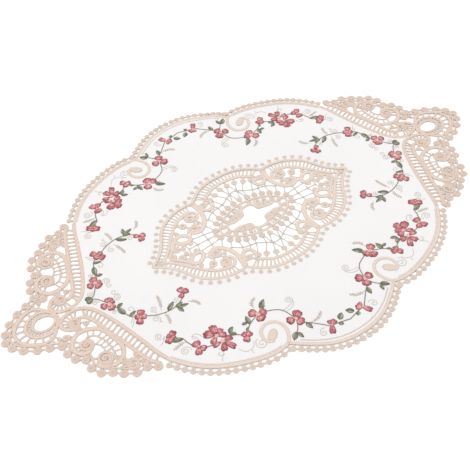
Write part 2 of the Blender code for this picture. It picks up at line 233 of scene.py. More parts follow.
# ---------------------------------------------------------------- plan of the garlands
# Flowers: (x, y, throat, petals as (distance, length, width, direction in degrees))
FLOWERS = [
    (17.8, 154.2, 1.4, [(4.8, 10.4, 6.6, 60), (3.6, 6.8, 6.6, 205), (3.4, 5.4, 5.0, 268)]),
    (40.3, 129.6, 2.0, [(5.4, 7.6, 10.4, 114), (5.4, 9.0, 10.8, 222), (5.6, 8.0, 10.0, -12)]),
    (66.3, 105.8, 2.6, [(5.2, 7.2, 11.4, 86), (4.8, 7.6, 9.0, 180), (5.6, 8.4, 10.4, 318)]),
    (109.2, 112.0, 2.4, [(9.6, 9.8, 6.8, 117), (7.0, 8.8, 6.8, 66), (7.2, 7.0, 6.2, 3),
                         (6.5, 7.2, 6.8, 178)]),
    (110.6, 104.2, 2.3, [(5.8, 9.0, 6.4, 34), (5.4, 8.2, 7.0, 158), (8.2, 9.6, 8.6, 259),
                         (8.0, 9.8, 9.8, 318), (6.2, 6.0, 6.0, 210)]),
    (130.2, 104.8, 1.3, [(4.6, 6.8, 7.4, 130), (5.2, 8.2, 7.4, 64), (3.8, 6.8, 10.0, 272)]),
    (146.0, 81.2, 1.1, [(3.9, 8.0, 7.4, 38), (3.8, 7.8, 7.2, 217), (2.4, 5.4, 6.4, 128),
                        (2.0, 5.0, 6.0, 306)]),
    (158.0, 45.6, 1.3, [(4.9, 8.2, 7.8, 56), (4.8, 8.0, 8.4, 238), (3.2, 6.2, 6.8, 148),
                        (2.8, 5.8, 6.6, 330)]),
    (175.6, 15.4, 2.6, [(5.0, 6.6, 9.6, 90), (6.0, 5.4, 9.0, -8), (4.8, 7.0, 9.6, 250),
                        (4.0, 4.4, 5.4, 186)]),
    (110.6, 43.8, 0.9, [(2.6, 6.8, 7.6, 180), (3.9, 7.2, 7.4, 280), (4.2, 7.0, 6.2, 40)]),
    (88.0, 120.4, 0.9, [(2.8, 6.6, 7.0, 196), (3.0, 7.4, 7.4, 48), (3.2, 6.0, 6.6, 286)]),
]
# Leaves: (x, y, length, width, turn in degrees), from the stalk's end
LEAVES = [(8.6, 153.8, 8.6, 5.8, 222), (11.4, 155.8, 5.2, 4.4, 130), (35.4, 138.4, 9.2, 4.8, 98),
          (48, 142.8, 8.2, 3.8, 100), (49, 141.6, 9.8, 5.6, 46), (61.6, 101.4, 11.8, 5.2, 218),
          (58.4, 102.8, 6.4, 3.4, 245), (78.6, 111.2, 10.6, 5.0, 262), (79.8, 107.8, 5.8, 3.6, -8),
          (94.4, 113.4, 8.4, 4.4, -48), (99.8, 107.2, 7.6, 4.2, 205), (136.8, 89.4, 11.8, 4.8, -14),
          (125.2, 55.6, 12.6, 4.2, 168), (123.8, 56, 8.2, 4.2, 108), (126, 54.6, 9.4, 3.6, 190),
          (133.6, 54.2, 12.0, 4.8, 214), (166.8, 39.4, 9.2, 3.8, 198), (168.2, 35, 12.4, 5.6, -76),
          (171.2, 23.2, 7.0, 4.2, 196), (85.6, 116.2, 5.8, 3.0, 225)]
# The small leaf on the long axis: (x, y, length, width), and the turn of its lobes in degrees
HEART_LEAF = (186.0, 0, 7.4, 6.4)
HEART_SPREAD = 25
STEMS = [
    [(-0.6, 158.8), (8, 156.6), (15, 155)],
    [(20, 154), (26, 147.5), (32, 141.5), (38, 136)],
    [(41.2, 126.6), (44.5, 116.5), (50, 111), (60, 106.5)],
    [(69.4, 106.6), (78.2, 110.6), (83.2, 114.8), (87, 119)],
    [(90, 117.8), (95.5, 113.2), (103, 110.6)],
    [(115, 109.6), (121.6, 110.2), (127.8, 107)],
    [(133.8, 101.8), (136.4, 94.6), (138, 89), (143.4, 83.8)],
    [(112, 47), (119, 51.7), (127, 54.7), (136.2, 54.6), (145.6, 51.8), (155, 46.6)],
    [(160, 44), (165, 40.6), (167.8, 34.8), (170.6, 25.2), (174, 19)],
    [(177.2, 11.8), (182.5, 3.6), (188, -0.3)],
    [(42, 134), (45, 139), (49, 143)],
]
# Tendrils: (x, y, radius, turns, start in degrees, direction, length of the tail)
TENDRILS = [(34, 108.4, 4.0, 1.6, 120, 1, 4), (81.3, 134.4, 5.5, 1.6, 320, 1, 4),
            (142.6, 102.2, 4.2, 1.6, 240, 1, 7), (154.8, 74.6, 3.9, 1.6, 80, -1, 6),
            (128, 94.6, 4.4, 0.7, 200, 1, 4), (147, 56, 3.8, 1.5, 150, 1, 4),
            (162, 32.4, 3.8, 1.0, 100, 1, 4), (165.6, 11.4, 3.8, 1.6, 60, 1, 6),
            (165.4, 5, 3.0, 1.0, 80, -1, 3), (186, 6.2, 2.8, 1.4, 200, 1, 3),
            (29, 157, 3.4, 1.2, 300, 1, 6), (121, 47.2, 2.6, 1.1, 80, 1, 3),
            (143.4, 45, 3.4, 1.4, 60, -1, 3), (118, 122, 3.4, 0.9, 200, -1, 4),
            (175.6, 26.6, 2.2, 1.2, 200, 1, 2)]
# Plain pale strands: the line that each follows
STRANDS = [
    [(86.4, 128.4), (87.8, 131.4), (91, 133.8), (95.4, 134.3), (99.4, 132), (101.6, 127.6)],
    [(92.6, 134), (92.9, 139)],
    [(44, 115.2), (38.4, 114.6), (33.4, 112.6)],
    [(42.6, 117.8), (37, 117.4), (32.4, 114.6), (30.2, 110)],
    [(150.4, 78), (154, 82), (158, 84.4)],
    [(115, 124.6), (118.6, 126.6), (120.4, 130.4)],
    [(164, 44), (166.4, 47.6), (169.8, 51.4)],
    [(165.2, 43), (168.6, 46.6)],
    [(143.4, 62.4), (146, 60.6)],
    [(130, 91.6), (126.6, 95.4), (126.4, 100)],
]
# Sprigs: the line that each follows
SPRIGS = [
    [(32, 140.8), (25, 141), (20.4, 139.4), (17.4, 136.2)],
    [(112, 55.4), (106.6, 59.4), (104.4, 65)],
    [(137.2, 54), (136.8, 61), (138.4, 68)],
    [(138.4, 50), (135.2, 42), (133.4, 33.4)],
    [(137, 94), (143, 93.6), (150, 95.4)],
    [(66, 98), (65, 92), (59, 88)],
]


# ---------------------------------------------------------------- sizes and colours that a user may change
class DoilySizes(PropertyGroup):
    cloth_thickness: FloatProperty(
        name="Cloth thickness", description="Thickness of the ground cloth", default=0.00045,
        min=0.0002, max=0.001, unit="LENGTH")
    tape_height: FloatProperty(
        name="Tape height", description="Height of the worked tapes", default=0.00055,
        min=0.0004, max=0.0016, unit="LENGTH")
    edge_tape_width: FloatProperty(
        name="Edge tape width", description="Width of the tapes along the seams", default=0.0036,
        min=0.0025, max=0.005, unit="LENGTH")
    scroll_tape_width: FloatProperty(
        name="Scroll tape width", description="Width of the tapes in scrolls and loops", default=0.0033,
        min=0.002, max=0.0045, unit="LENGTH")
    bar_width: FloatProperty(
        name="Bar width", description="Width of the bars between two tapes", default=0.0019,
        min=0.0008, max=0.003, unit="LENGTH")
    net_gauge: FloatProperty(
        name="Net gauge", description="Thickness of the cords of the net", default=0.00095,
        min=0.0004, max=0.0015, unit="LENGTH")
    ripple: FloatProperty(
        name="Ripple", description="Height of the slight waves in the doily as it lies", default=0.0004,
        min=0.0, max=0.002, unit="LENGTH")


class DoilyColours(PropertyGroup):
    cloth: FloatVectorProperty(
        name="Cloth", description="Ground cloth", default=(0.755, 0.738, 0.736), size=3, subtype="COLOR")
    lace: FloatVectorProperty(
        name="Lace", description="Lace thread", default=(0.685, 0.572, 0.498), size=3, subtype="COLOR")
    lace_deep: FloatVectorProperty(
        name="Lace, deep", description="Lace thread where it is packed close",
        default=(0.605, 0.492, 0.418), size=3, subtype="COLOR")
    lace_pale: FloatVectorProperty(
        name="Lace, pale", description="Lace thread where it is worked open", default=(0.795, 0.662, 0.568),
        size=3, subtype="COLOR")
    end_lace: FloatVectorProperty(
        name="End lace", description="Warmer thread of the lace at the ends", default=(0.65, 0.51, 0.428),
        size=3, subtype="COLOR")
    net: FloatVectorProperty(
        name="Net", description="Fine cords of the net", default=(0.55, 0.485, 0.43), size=3,
        subtype="COLOR")
    net_deep: FloatVectorProperty(
        name="Net, deep", description="Fine cords where they are twisted tight", default=(0.40, 0.35, 0.31),
        size=3, subtype="COLOR")
    rose: FloatVectorProperty(
        name="Rose", description="Petals", default=(0.50, 0.17, 0.178), size=3, subtype="COLOR")
    rose_deep: FloatVectorProperty(
        name="Rose, deep", description="Edges of the petals", default=(0.25, 0.055, 0.07), size=3,
        subtype="COLOR")
    # Pale hearts of the flowers, also used for the painted highlight on the petals
    rose_pale_and_highlight: FloatVectorProperty(
        name="Rose, pale", description="Hearts of the flowers", default=(0.80, 0.48, 0.46), size=3,
        subtype="COLOR")
    leaf: FloatVectorProperty(
        name="Leaf", description="Leaves", default=(0.205, 0.20, 0.13), size=3, subtype="COLOR")
    leaf_deep: FloatVectorProperty(
        name="Leaf, deep", description="Dark side of the leaves", default=(0.07, 0.08, 0.045), size=3,
        subtype="COLOR")
    leaf_pale: FloatVectorProperty(
        name="Leaf, pale", description="Light side of the leaves", default=(0.46, 0.44, 0.33), size=3,
        subtype="COLOR")
    stem: FloatVectorProperty(
        name="Stem", description="Stems of the garlands", default=(0.27, 0.22, 0.17), size=3,
        subtype="COLOR")
    tendril: FloatVectorProperty(
        name="Tendril", description="Tendrils and sprigs", default=(0.56, 0.50, 0.445), size=3,
        subtype="COLOR")
    tendril_deep: FloatVectorProperty(
        name="Tendril, deep", description="Beads of the sprigs", default=(0.48, 0.41, 0.35), size=3,
        subtype="COLOR")


class DoilyStage(PropertyGroup):
    floor: FloatVectorProperty(
        name="Floor", description="Surface that the doily lies on", default=(0.93, 0.93, 0.93), size=3,
        subtype="COLOR")
    sky: FloatProperty(
        name="Sky", description="Strength of the even light from all round", default=1.13, min=0.0, max=3.0)
    softbox: FloatProperty(
        name="Softbox", description="Power of the large soft light", default=9.5, min=0.0, max=60.0,
        unit="POWER")


# ---------------------------------------------------------------- lines in plan
def smooth_line(table, level=True):
    """Points on a curve through a table's rows. A level line that meets an axis meets it squarely."""
    rows = [Vector(row) for row in table]
    first, last = rows[0], rows[-1]
    before = Vector((-rows[1].x, rows[1].y)) if level and first.x == 0 else 2 * first - rows[1]
    if level and first.y == 0:
        before = Vector((rows[1].x, -rows[1].y))
    after = Vector((rows[-2].x, -rows[-2].y)) if level and last.y == 0 else 2 * last - rows[-2]
    rows = [before, *rows, after]
    line = []
    for back, start, end, ahead in zip(rows, rows[1:], rows[2:], rows[3:]):
        count = max(1, round((end - start).length / LINE_STEP))
        for k in range(count):
            t = k / count
            line.append(0.5 * (2 * start + (end - back) * t
                               + (2 * back - 5 * start + 4 * end - ahead) * t ** 2
                               + (3 * start - back - 3 * end + ahead) * t ** 3))
    line.append(rows[-2])
    return line


def joined_line(tables):
    """One line through several tables, with a corner where one ends and the next starts."""
    line = smooth_line(tables[0])
    for table in tables[1:]:
        line += smooth_line(table, level=False)[1:]
    return line


def normals(line, closed=False):
    """Normals on the left of a line, mitred at its corners."""
    if closed:
        line = [line[-1], *line, line[0]]
    sides = []
    for start, end in zip(line, line[1:]):
        along = (end - start).normalized()
        sides.append(Vector((-along.y, along.x)))
    found = []
    for before, after in zip(sides, sides[1:]):
        middle = (before + after).normalized()
        found.append(middle / max(middle.dot(before), 0.5))
    if closed:
        return found
    ends = []
    for spot, side in ((line[0], sides[0]), (line[-1], sides[-1])):
        square = Vector((0, math.copysign(1, side.y))) if abs(spot.x) < 1e-6 else side
        square = Vector((math.copysign(1, side.x), 0)) if abs(spot.y) < 1e-6 else square
        ends.append(square if square.dot(side) > 0.8 else side)
    return [ends[0], *found, ends[1]]


def lengths_of(line):
    """How far along the line each of its points is."""
    travelled = [0.0]
    for start, end in zip(line, line[1:]):
        travelled.append(travelled[-1] + (end - start).length)
    return travelled


def place_at(line, share):
    """The point a share of the way along a line, and the normal on its left."""
    travelled = lengths_of(line)
    wanted = min(max(share, 0.0), 1.0) * travelled[-1]
    k = next((i for i in range(len(line) - 1) if travelled[i + 1] >= wanted), len(line) - 2)
    part = (wanted - travelled[k]) / max(travelled[k + 1] - travelled[k], 1e-9)
    along = (line[k + 1] - line[k]).normalized()
    return line[k].lerp(line[k + 1], part), Vector((-along.y, along.x))


def part_of(line, low, high):
    """The stretch of a line between two shares of its length."""
    travelled = lengths_of(line)
    inside = [point for point, along in zip(line, travelled) if low < along / travelled[-1] < high]
    return [place_at(line, low)[0], *inside, place_at(line, high)[0]]


def beside(line, distance):
    """A line at a distance on the left of another."""
    return [point + side * distance for point, side in zip(line, normals(line))]


def nearest(lines, spot):
    """The point of some lines that lies nearest to a spot."""
    found = []
    for line in lines:
        for start, end in zip(line, line[1:]):
            along = end - start
            share = min(1.0, max(0.0, (spot - start).dot(along) / max(along.length_squared, 1e-9)))
            found.append(start + along * share)
    return min(found, key=lambda point: (point - spot).length)


def oval(x, y, half_length, half_width, turn=0.0, corners=24):
    rim = []
    for k in range(corners):
        angle = 2 * math.pi * k / corners
        point = Vector((half_length * math.cos(angle), half_width * math.sin(angle)))
        rim.append(Vector((x, y)) + Matrix.Rotation(math.radians(turn), 2) @ point)
    return rim


def winding(x, y, outer, inner, turns, start, direction, step, held=0.0):
    """Points, step degrees apart, on a spiral that holds its outer radius for a share and then winds in."""
    count = max(6, round(turns * 360 / step))
    line = []
    for k in range(count + 1):
        radius = outer + (inner - outer) * max(0.0, k / count - held) / (1 - held)
        angle = math.radians(start + direction * turns * 360 * k / count)
        line.append(Vector((x + radius * math.cos(angle), y + radius * math.sin(angle))))
    return line


def area_of(outline):
    """The area inside an outline, negative where it runs clockwise."""
    return sum(a.x * b.y - b.x * a.y for a, b in zip(outline, outline[1:] + outline[:1])) / 2


# ---------------------------------------------------------------- threadwork
class Work:
    """Threadwork for one piece: points in millimetres, faces, and how the thread runs on each."""

    def __init__(self):
        self.points = []
        self.shades = []
        self.faces = []
        self.threads = []
        self.finishes = []

    def add(self, points, faces, threads, finish, shades, wrap=0.0):
        """Adds faces. Threads gives each point its place along and across the stitches."""
        start = len(self.points)
        self.points += points
        self.shades += shades
        for face in faces:
            corners = [threads[i] for i in face]
            if wrap and max(c[0] for c in corners) - min(c[0] for c in corners) > wrap / 2:
                corners = [(c[0] + wrap if c[0] < wrap / 2 else c[0], c[1]) for c in corners]
            self.faces.append([start + i for i in face])
            self.threads.append(corners)
            self.finishes.append(finish)

    def mirrored(self, signs):
        """This work repeated for each pair of signs of x and y."""
        every = Work()
        for sign_x, sign_y in signs:
            start = len(every.points)
            every.points += [(x * sign_x, y * sign_y, z) for x, y, z in self.points]
            every.shades += self.shades
            turned = sign_x * sign_y < 0
            for face, corners in zip(self.faces, self.threads):
                face = [start + i for i in face]
                every.faces.append(face[::-1] if turned else face)
                every.threads.append(corners[::-1] if turned else corners)
            every.finishes += self.finishes
        return every

    def join(self, other):
        start = len(self.points)
        self.points += other.points
        self.shades += other.shades
        self.faces += [[start + i for i in face] for face in other.faces]
        self.threads += other.threads
        self.finishes += other.finishes


def tape_section(width, height):
    """Cross-section of a tape from right to left over the top: two dark edge cords and a pale satin middle.

    Each corner is (across, height, how much paler than the tape).
    """
    half = width / 2
    cord = min(WIDEST_EDGE_CORD, width * 0.16)
    left = [(half - cord * 1.7, height * 0.74, TAPE_CONTRAST), (half - cord * 0.6, height, -TAPE_CONTRAST),
            (half, height * 0.5, -TAPE_CONTRAST), (half * 0.93, 0, -TAPE_CONTRAST)]
    right = [(-across, up, tone) for across, up, tone in reversed(left)]
    return [*right, (0, height * 0.88, TAPE_CONTRAST), *left]


def cord_section(width, height):
    """Cross-section of a round or flattened cord from right to left over the top."""
    found = []
    for k in range(CORD_SIDES):
        angle = 2 * math.pi * (k - 0.5) / CORD_SIDES
        found.append((-width / 2 * math.cos(angle), height / 2 * (1 + math.sin(angle)), 0.0))
    return found


def sweep(work, line, section, finish, lift=ON_TABLE, closed=False, ends=(True, True), shade=0.5,
          swell=None):
    """Runs a cross-section along a line.

    Lift may be a function of the share of the way along, and swell is one that scales the section. Ends
    says which of its two ends are closed with a face.
    """
    sides = normals(line, closed)
    travelled = lengths_of(line)
    corners = len(section)
    points, threads, tones = [], [], []
    for place, side, along in zip(line, sides, travelled):
        share = along / travelled[-1]
        size = swell(share) if swell else 1.0
        base = lift(share) if callable(lift) else lift
        for across, height, tone in section:
            spot = place + side * across * size
            points.append((spot.x, spot.y, base + height * (0.5 + 0.5 * size)))
            threads.append((along, across))
            tones.append(shade + tone)
    rings = len(line)
    faces = []
    for k in range(rings if closed else rings - 1):
        here, there = k * corners, (k + 1) % rings * corners
        for i in range(corners):
            j = (i + 1) % corners
            faces.append((here + i, there + i, there + j, here + j))
    if not closed and ends[0]:
        faces.append(tuple(range(corners)))
    if not closed and ends[1]:
        faces.append(tuple(range(rings * corners - 1, (rings - 1) * corners - 1, -1)))
    wrap = travelled[-1] + (line[0] - line[-1]).length if closed else 0.0
    work.add(points, faces, threads, finish, tones, wrap)


def rounded(share):
    """Narrows both ends of a tape so that they finish round."""
    return math.sqrt(max(0.04, min(1.0, 12 * share * (1 - share) + 0.04)))


def blunt(share):
    """Rounds off just the two ends of a tape."""
    return math.sqrt(max(0.06, min(1.0, 28 * min(share, 1 - share) + 0.06)))


def pad(work, outline, dome, finish, lift, shades, run=None, middle=None):
    """A domed patch of stitches inside an outline.

    Stitches run at the angle run, or out from the middle when run is None. Shades holds one shade for each
    row of the dome and one for the middle.
    """
    middle = middle or sum(outline, Vector((0, 0))) / len(outline)
    count = len(outline)
    points, threads, tones = [], [], []
    reach = sum((point - middle).length for point in outline) / count

    def thread(spot, k):
        if run is None:
            return (2 * math.pi * reach * k / count, (spot - middle).length)
        away = Matrix.Rotation(-run, 2) @ (spot - middle)
        return (away.y, away.x)

    for (out, height), shade in zip(dome, shades):
        for k, corner in enumerate(outline):
            spot = middle + (corner - middle) * out
            points.append((spot.x, spot.y, lift + height))
            threads.append(thread(spot, k))
            tones.append(shade)
    faces = [tuple(range(count - 1, -1, -1))]
    for row in range(len(dome) - 1):
        for k in range(count):
            j = (k + 1) % count
            faces.append((row * count + k, row * count + j, (row + 1) * count + j, (row + 1) * count + k))
    top = (len(dome) - 1) * count
    centre = len(points)
    points.append((middle.x, middle.y, lift + dome[-1][1]))
    threads.append((0.0, 0.0))
    tones.append(shades[-1])
    for k in range(count):
        faces.append((top + k, top + (k + 1) % count, centre))
    work.add(points, faces, threads, finish, tones, 2 * math.pi * reach if run is None else 0.0)


def raised(dome, height):
    """A dome whose heights are shares of its full height."""
    return [(out, up * height) for out, up in dome]


def wheel(work, x, y, radius, height, lift=ON_TABLE, corners=14, shade=0.45):
    """A round wheel of stitches with a raised rim and a dimple in its middle."""
    # Painted highlight on the top of the rim, painted shade at its foot and in the dimple
    pad(work, oval(x, y, radius, radius, corners=corners), raised(WHEEL_DOME, height), WHEEL, lift,
        [shade + tone for tone in WHEEL_SHADE_AND_HIGHLIGHT])


def wound_wheel(work, x, y, radius, direction, tape, height, start):
    """A coiled wheel: a tape wound into a flat coil, with a thin opening between its turns."""
    knot = oval(x, y, radius * 0.3, radius * 0.3, corners=12)
    pad(work, knot, raised(COIL_DOME, height), WHEEL, ON_TABLE, [0.3] * 4)
    turns = max(1.5, (radius - tape * 0.9) / (tape + COIL_GAP) + 0.8)
    line = winding(x, y, radius - tape * 0.45, tape * 0.42, turns, start, direction, step=14,
                   held=0.7 / turns)
    sweep(work, line, tape_section(tape * 1.04, height), WHEEL, shade=0.4, swell=rounded)


def bar(work, start, end, width, finish=CORD, lift=ON_TABLE, arch=BAR_ARCH, shade=0.5, height=None):
    """A bar of wrapped thread between two points, arched a little and waisted in its middle."""
    start, end = Vector(start), Vector(end)
    count = max(3, round((end - start).length / BAR_STEP))
    line = [start.lerp(end, k / count) for k in range(count + 1)]
    sweep(work, line, cord_section(width, height or width * BAR_FLATNESS), finish,
          lambda share: lift + arch * math.sin(math.pi * share), shade=shade,
          swell=lambda share: BAR_FOOT - BAR_WAIST * math.sin(math.pi * share))


def net_bar(work, start, end, gauge):
    bar(work, start, end, gauge, NET, height=NET_HEIGHT)


def ladder(work, one, other, pitch, width, reach=(0.0, 1.0)):
    """Bars at an even pitch from one line straight across to the other."""
    low, high = reach
    count = max(1, round(lengths_of(one)[-1] * (high - low) / pitch))
    for k in range(count):
        share = low + (high - low) * (k + 0.5) / count
        foot = place_at(one, share)[0]
        across, evenly = nearest([other], foot), place_at(other, share)[0]
        bar(work, foot, across.lerp(evenly, LADDER_EVENNESS), width)


def ties(work, line, others, pitch, width, reach, finish=CORD):
    """Short bars from a line to the nearest of the others, wherever they pass within reach."""
    count = max(1, round(lengths_of(line)[-1] / pitch))
    for k in range(count):
        foot = place_at(line, (k + 0.5) / count)[0]
        end = nearest(others, foot)
        if reach[0] < (end - foot).length < reach[1]:
            bar(work, foot, end, width, finish)


def tied_wheel(work, x, y, radius, height, others, pitch, width, reach):
    """A wheel held to the nearest lines by short bars."""
    wheel(work, x, y, radius, height)
    ties(work, oval(x, y, radius * 0.8, radius * 0.8), others, pitch, width, reach)


def spokes(work, x, y, radius, others, count, width, reach):
    """Bars out from under a coiled wheel to the nearest of the lines, wherever they pass within reach."""
    middle, used = Vector((x, y)), []
    for k in range(count):
        out = Vector((math.cos(2 * math.pi * k / count), math.sin(2 * math.pi * k / count)))
        rim = middle + out * radius
        end = nearest(others, rim)
        apart = all((end - other).length > width for other in used)
        if apart and reach[0] < (end - rim).length < reach[1] and (end - middle).length > radius:
            bar(work, middle.lerp(end, 0.45 * radius / (end - middle).length), end, width)
            used.append(end)


def picots(work, line, kind, height, lift=ON_TABLE, reach=(0.0, 1.0)):
    """Small wheels on stalks along the left of a line, linked to each other if the kind has links."""
    low, high = reach
    count = round(lengths_of(line)[-1] * (high - low) / kind["pitch"])
    last = None
    for number in range(count):
        foot, out = place_at(line, low + (high - low) * (number + 0.5) / count)
        centre = foot + out * kind["offset"]
        bar(work, foot + out, centre - out * kind["radius"] * 0.4, kind["stalk"], WHEEL, lift, arch=0.0,
            height=height * 0.7, shade=0.45)
        wheel(work, centre.x, centre.y, kind["radius"], height, lift, shade=0.3)
        link = centre - out * kind["radius"] * 0.1
        if last and kind["link"]:
            bar(work, last, link, kind["link"], WHEEL, lift, arch=0.0, height=height * 0.6, shade=0.4)
        last = link


# ---------------------------------------------------------------- how the doily lies
# Half axes of the oval near which the shorter waves reach their full height
EDGE_OVAL = (250, 170)
# Distance along X at which the waves of the tips start, and the distance over which they grow
TIPS_START, TIPS_RUN = 190, 80
# The pucker beside one notch: (x, y), (reach along X, reach along Y) and height
PUCKER_PLACE = (50, 158)
PUCKER_REACH = (11, 7)
PUCKER_HEIGHT = 2.6


def relief(x, y, ripple):
    """Height of the doily's underside above the surface, for arrays of x and y, all in millimetres.

    Long calm waves run all over it, with shorter ones near its edge and at its tips. In each sine and
    cosine, x and y are divided by the wave's length over 2 pi. The pucker is the one steep fold.
    """
    edge = np.clip(((x / EDGE_OVAL[0]) ** 2 + (y / EDGE_OVAL[1]) ** 2 - 0.55) / 0.5, 0, 1)
    calm = 1 + np.sin(x / 43 + 1.3) * np.sin(y / 37 + 0.4)
    lively = 1 + np.sin(x / 17 + y / 23 + 0.8) * np.cos(x / 29 - y / 13)
    tips = np.clip((np.abs(x) - TIPS_START) / TIPS_RUN, 0, 1)
    lifted = 1 + np.sin(y / 15 + x / 31)
    away_x = (x - PUCKER_PLACE[0]) / PUCKER_REACH[0]
    away_y = (y - PUCKER_PLACE[1]) / PUCKER_REACH[1]
    pucker = PUCKER_HEIGHT * np.exp(-away_x ** 2 - away_y ** 2)
    return ripple * (0.4 * calm + 0.55 * edge * lively + 0.5 * tips * lifted) + pucker


def in_millimetres(sizes):
    """The sizes of a property group, by the same names."""
    return SimpleNamespace(**{name: getattr(sizes, name) / MM for name in sizes.__annotations__})


def make_piece(work, name, finishes, ripple, weld=True, base=0.0):
    """Builds a piece from its threadwork, lays it on the surface and attaches it to the root body."""
    mesh = bpy.data.meshes.new(name)
    co = np.array(work.points, float)
    co[:, 2] += base + relief(co[:, 0], co[:, 1], ripple)
    mesh.from_pydata((co * MM).tolist(), [], work.faces)
    layer = mesh.uv_layers.new(name=THREAD_MAP)
    flat = np.array([value for corners in work.threads for pair in corners for value in pair], np.float32)
    layer.data.foreach_set("uv", flat)
    tone = mesh.attributes.new(SHADE, "FLOAT", "POINT")
    tone.data.foreach_set("value", np.array(work.shades, np.float32))
    for finish in finishes:
        mesh.materials.append(finish)
    mesh.polygons.foreach_set("material_index", np.array(work.finishes, np.int32))
    mesh.polygons.foreach_set("use_smooth", np.ones(len(work.faces), bool))
    if weld:
        shape = bmesh.new()
        shape.from_mesh(mesh)
        on_axis = [v for v in shape.verts if abs(v.co.x) < 1e-6 or abs(v.co.y) < 1e-6]
        bmesh.ops.remove_doubles(shape, verts=on_axis, dist=2e-6)
        shape.to_mesh(mesh)
        shape.free()
    mesh.update()
    piece = bpy.data.objects.new(name, mesh)
    bpy.context.scene.collection.objects.link(piece)
    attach(piece, "root")
    return piece


# ---------------------------------------------------------------- finishes
# Scales of the patterns in a finish, for objects in metres
MOTTLE_SCALE = 420.0
FIBRE_SCALE = 2600.0
CLOUD_SCALE = 9.0
CREASE_SCALE = 28.0
FLOOR_GRAIN_SCALE = 60.0
WARP_PITCH = 0.00055
WEFT_PITCH = 0.0005


class Finish:
    """A node material with short calls that add and join its nodes."""

    def __init__(self, name):
        self.material = bpy.data.materials.new(name)
        self.material.use_nodes = True
        self.tree = self.material.node_tree
        self.shader = self.tree.nodes["Principled BSDF"]

    def feed(self, socket, value):
        if isinstance(value, bpy.types.NodeSocket):
            self.tree.links.new(value, socket)
        else:
            socket.default_value = value

    def add(self, kind, inputs=None, **settings):
        made = self.tree.nodes.new("ShaderNode" + kind)
        for key, value in settings.items():
            setattr(made, key, value)
        for key, value in (inputs or {}).items():
            self.feed(made.inputs[key], value)
        return made

    def maths(self, operation, one, other):
        return self.add("Math", {0: one, 1: other}, operation=operation).outputs[0]

    def noise(self, vector, scale, detail, **inputs):
        made = self.add("TexNoise", {"Vector": vector, "Scale": scale, "Detail": detail, **inputs})
        return made.outputs["Fac"]

    def ramp(self, factor, stops):
        made = self.add("ValToRGB", {0: factor})
        elements = made.color_ramp.elements
        while len(elements) < len(stops):
            elements.new(0.5)
        for element, (place, colour) in zip(elements, stops):
            element.position = place
            element.color = (*colour, 1.0)
        return made.outputs[0]

    def span(self, value, low, high):
        return self.add("MapRange", {"Value": value, "To Min": low, "To Max": high}).outputs[0]

    def shader_inputs(self, **values):
        for key, value in values.items():
            self.feed(self.shader.inputs[key.replace("_", " ")], value)


def bands(finish, vector, pitch, direction="X", distortion=0.6):
    """Stitches at a pitch given in the vector's own unit."""
    return finish.add("TexWave", {"Vector": vector, "Scale": 2 * math.pi / (20 * pitch),
                                  "Distortion": distortion, "Detail": 1.0},
                      bands_direction=direction).outputs["Fac"]


def thread_finish(name, deep, middle, pale, pitch, rough=(0.55, 0.8), sheen=0.3, mottling=0.1):
    """Stitched thread: colour from deep to pale by the shade of each point, ribbed along the stitches with
    painted shade between them.
    """
    finish = Finish(name)
    run = finish.add("UVMap", uv_map=THREAD_MAP).outputs["UV"]
    place = finish.add("TexCoord").outputs["Object"]
    shade = finish.add("Attribute", attribute_name=SHADE).outputs["Fac"]
    mottle = finish.noise(place, MOTTLE_SCALE, detail=3.0)
    fibre = finish.noise(place, FIBRE_SCALE, detail=2.0)
    stitches = bands(finish, run, pitch)
    tone = finish.maths("ADD", shade, finish.span(mottle, -2 * mottling, 2 * mottling))
    tone = finish.maths("ADD", tone, finish.span(fibre, -0.08, 0.08))
    # Darker in the dips between the stitches and paler on their crowns: painted shade and painted highlight
    tone = finish.maths("ADD", tone, finish.span(stitches, -0.1, 0.06))
    colour = finish.ramp(tone, [(0.0, deep), (0.5, middle), (1.0, pale)])
    ribs = finish.maths("ADD", stitches, finish.span(fibre, 0.0, 0.5))
    bump = finish.add("Bump", {"Height": ribs, "Distance": 0.00012, "Strength": 0.7})
    finish.shader_inputs(Base_Color=colour, Roughness=finish.span(stitches, rough[1], rough[0]),
                         Normal=bump.outputs[0], Sheen_Weight=sheen, Sheen_Roughness=0.4,
                         Specular_IOR_Level=0.3)
    return finish.material


def cloth_finish(name, colour):
    """Fine plain weave with slubs, faint creases and soft sheen."""
    finish = Finish(name)
    place = finish.add("TexCoord").outputs["Object"]
    warp = bands(finish, place, WARP_PITCH, "X", distortion=0.4)
    weft = bands(finish, place, WEFT_PITCH, "Y", distortion=0.4)
    weave = finish.maths("MULTIPLY", warp, weft)
    cloud = finish.noise(place, CLOUD_SCALE, detail=4.0)
    slub = finish.noise(place, MOTTLE_SCALE, detail=3.0)
    crease = finish.noise(place, CREASE_SCALE, detail=2.0, Roughness=0.4)
    tone = finish.maths("ADD", finish.span(cloud, 0.0, 0.6), finish.span(slub, 0.0, 0.3))
    # Paler on the raised crossings of the weave and darker between them: painted highlight and painted
    # shade
    tone = finish.maths("ADD", tone, finish.span(weave, 0.0, 0.1))
    low = tuple(value * 0.94 for value in colour)
    high = tuple(min(1.0, value * 1.05) for value in colour)
    shade = finish.ramp(tone, [(0.1, low), (0.5, tuple(colour)), (0.9, high)])
    fine = finish.add("Bump", {"Height": weave, "Distance": 0.00006, "Strength": 0.5}).outputs[0]
    soft = finish.add("Bump", {"Height": crease, "Distance": 0.0012, "Strength": 0.25, "Normal": fine})
    finish.shader_inputs(Base_Color=shade, Roughness=finish.span(slub, 0.75, 0.95), Normal=soft.outputs[0],
                         Sheen_Weight=0.15, Sheen_Roughness=0.5, Specular_IOR_Level=0.2)
    return finish.material


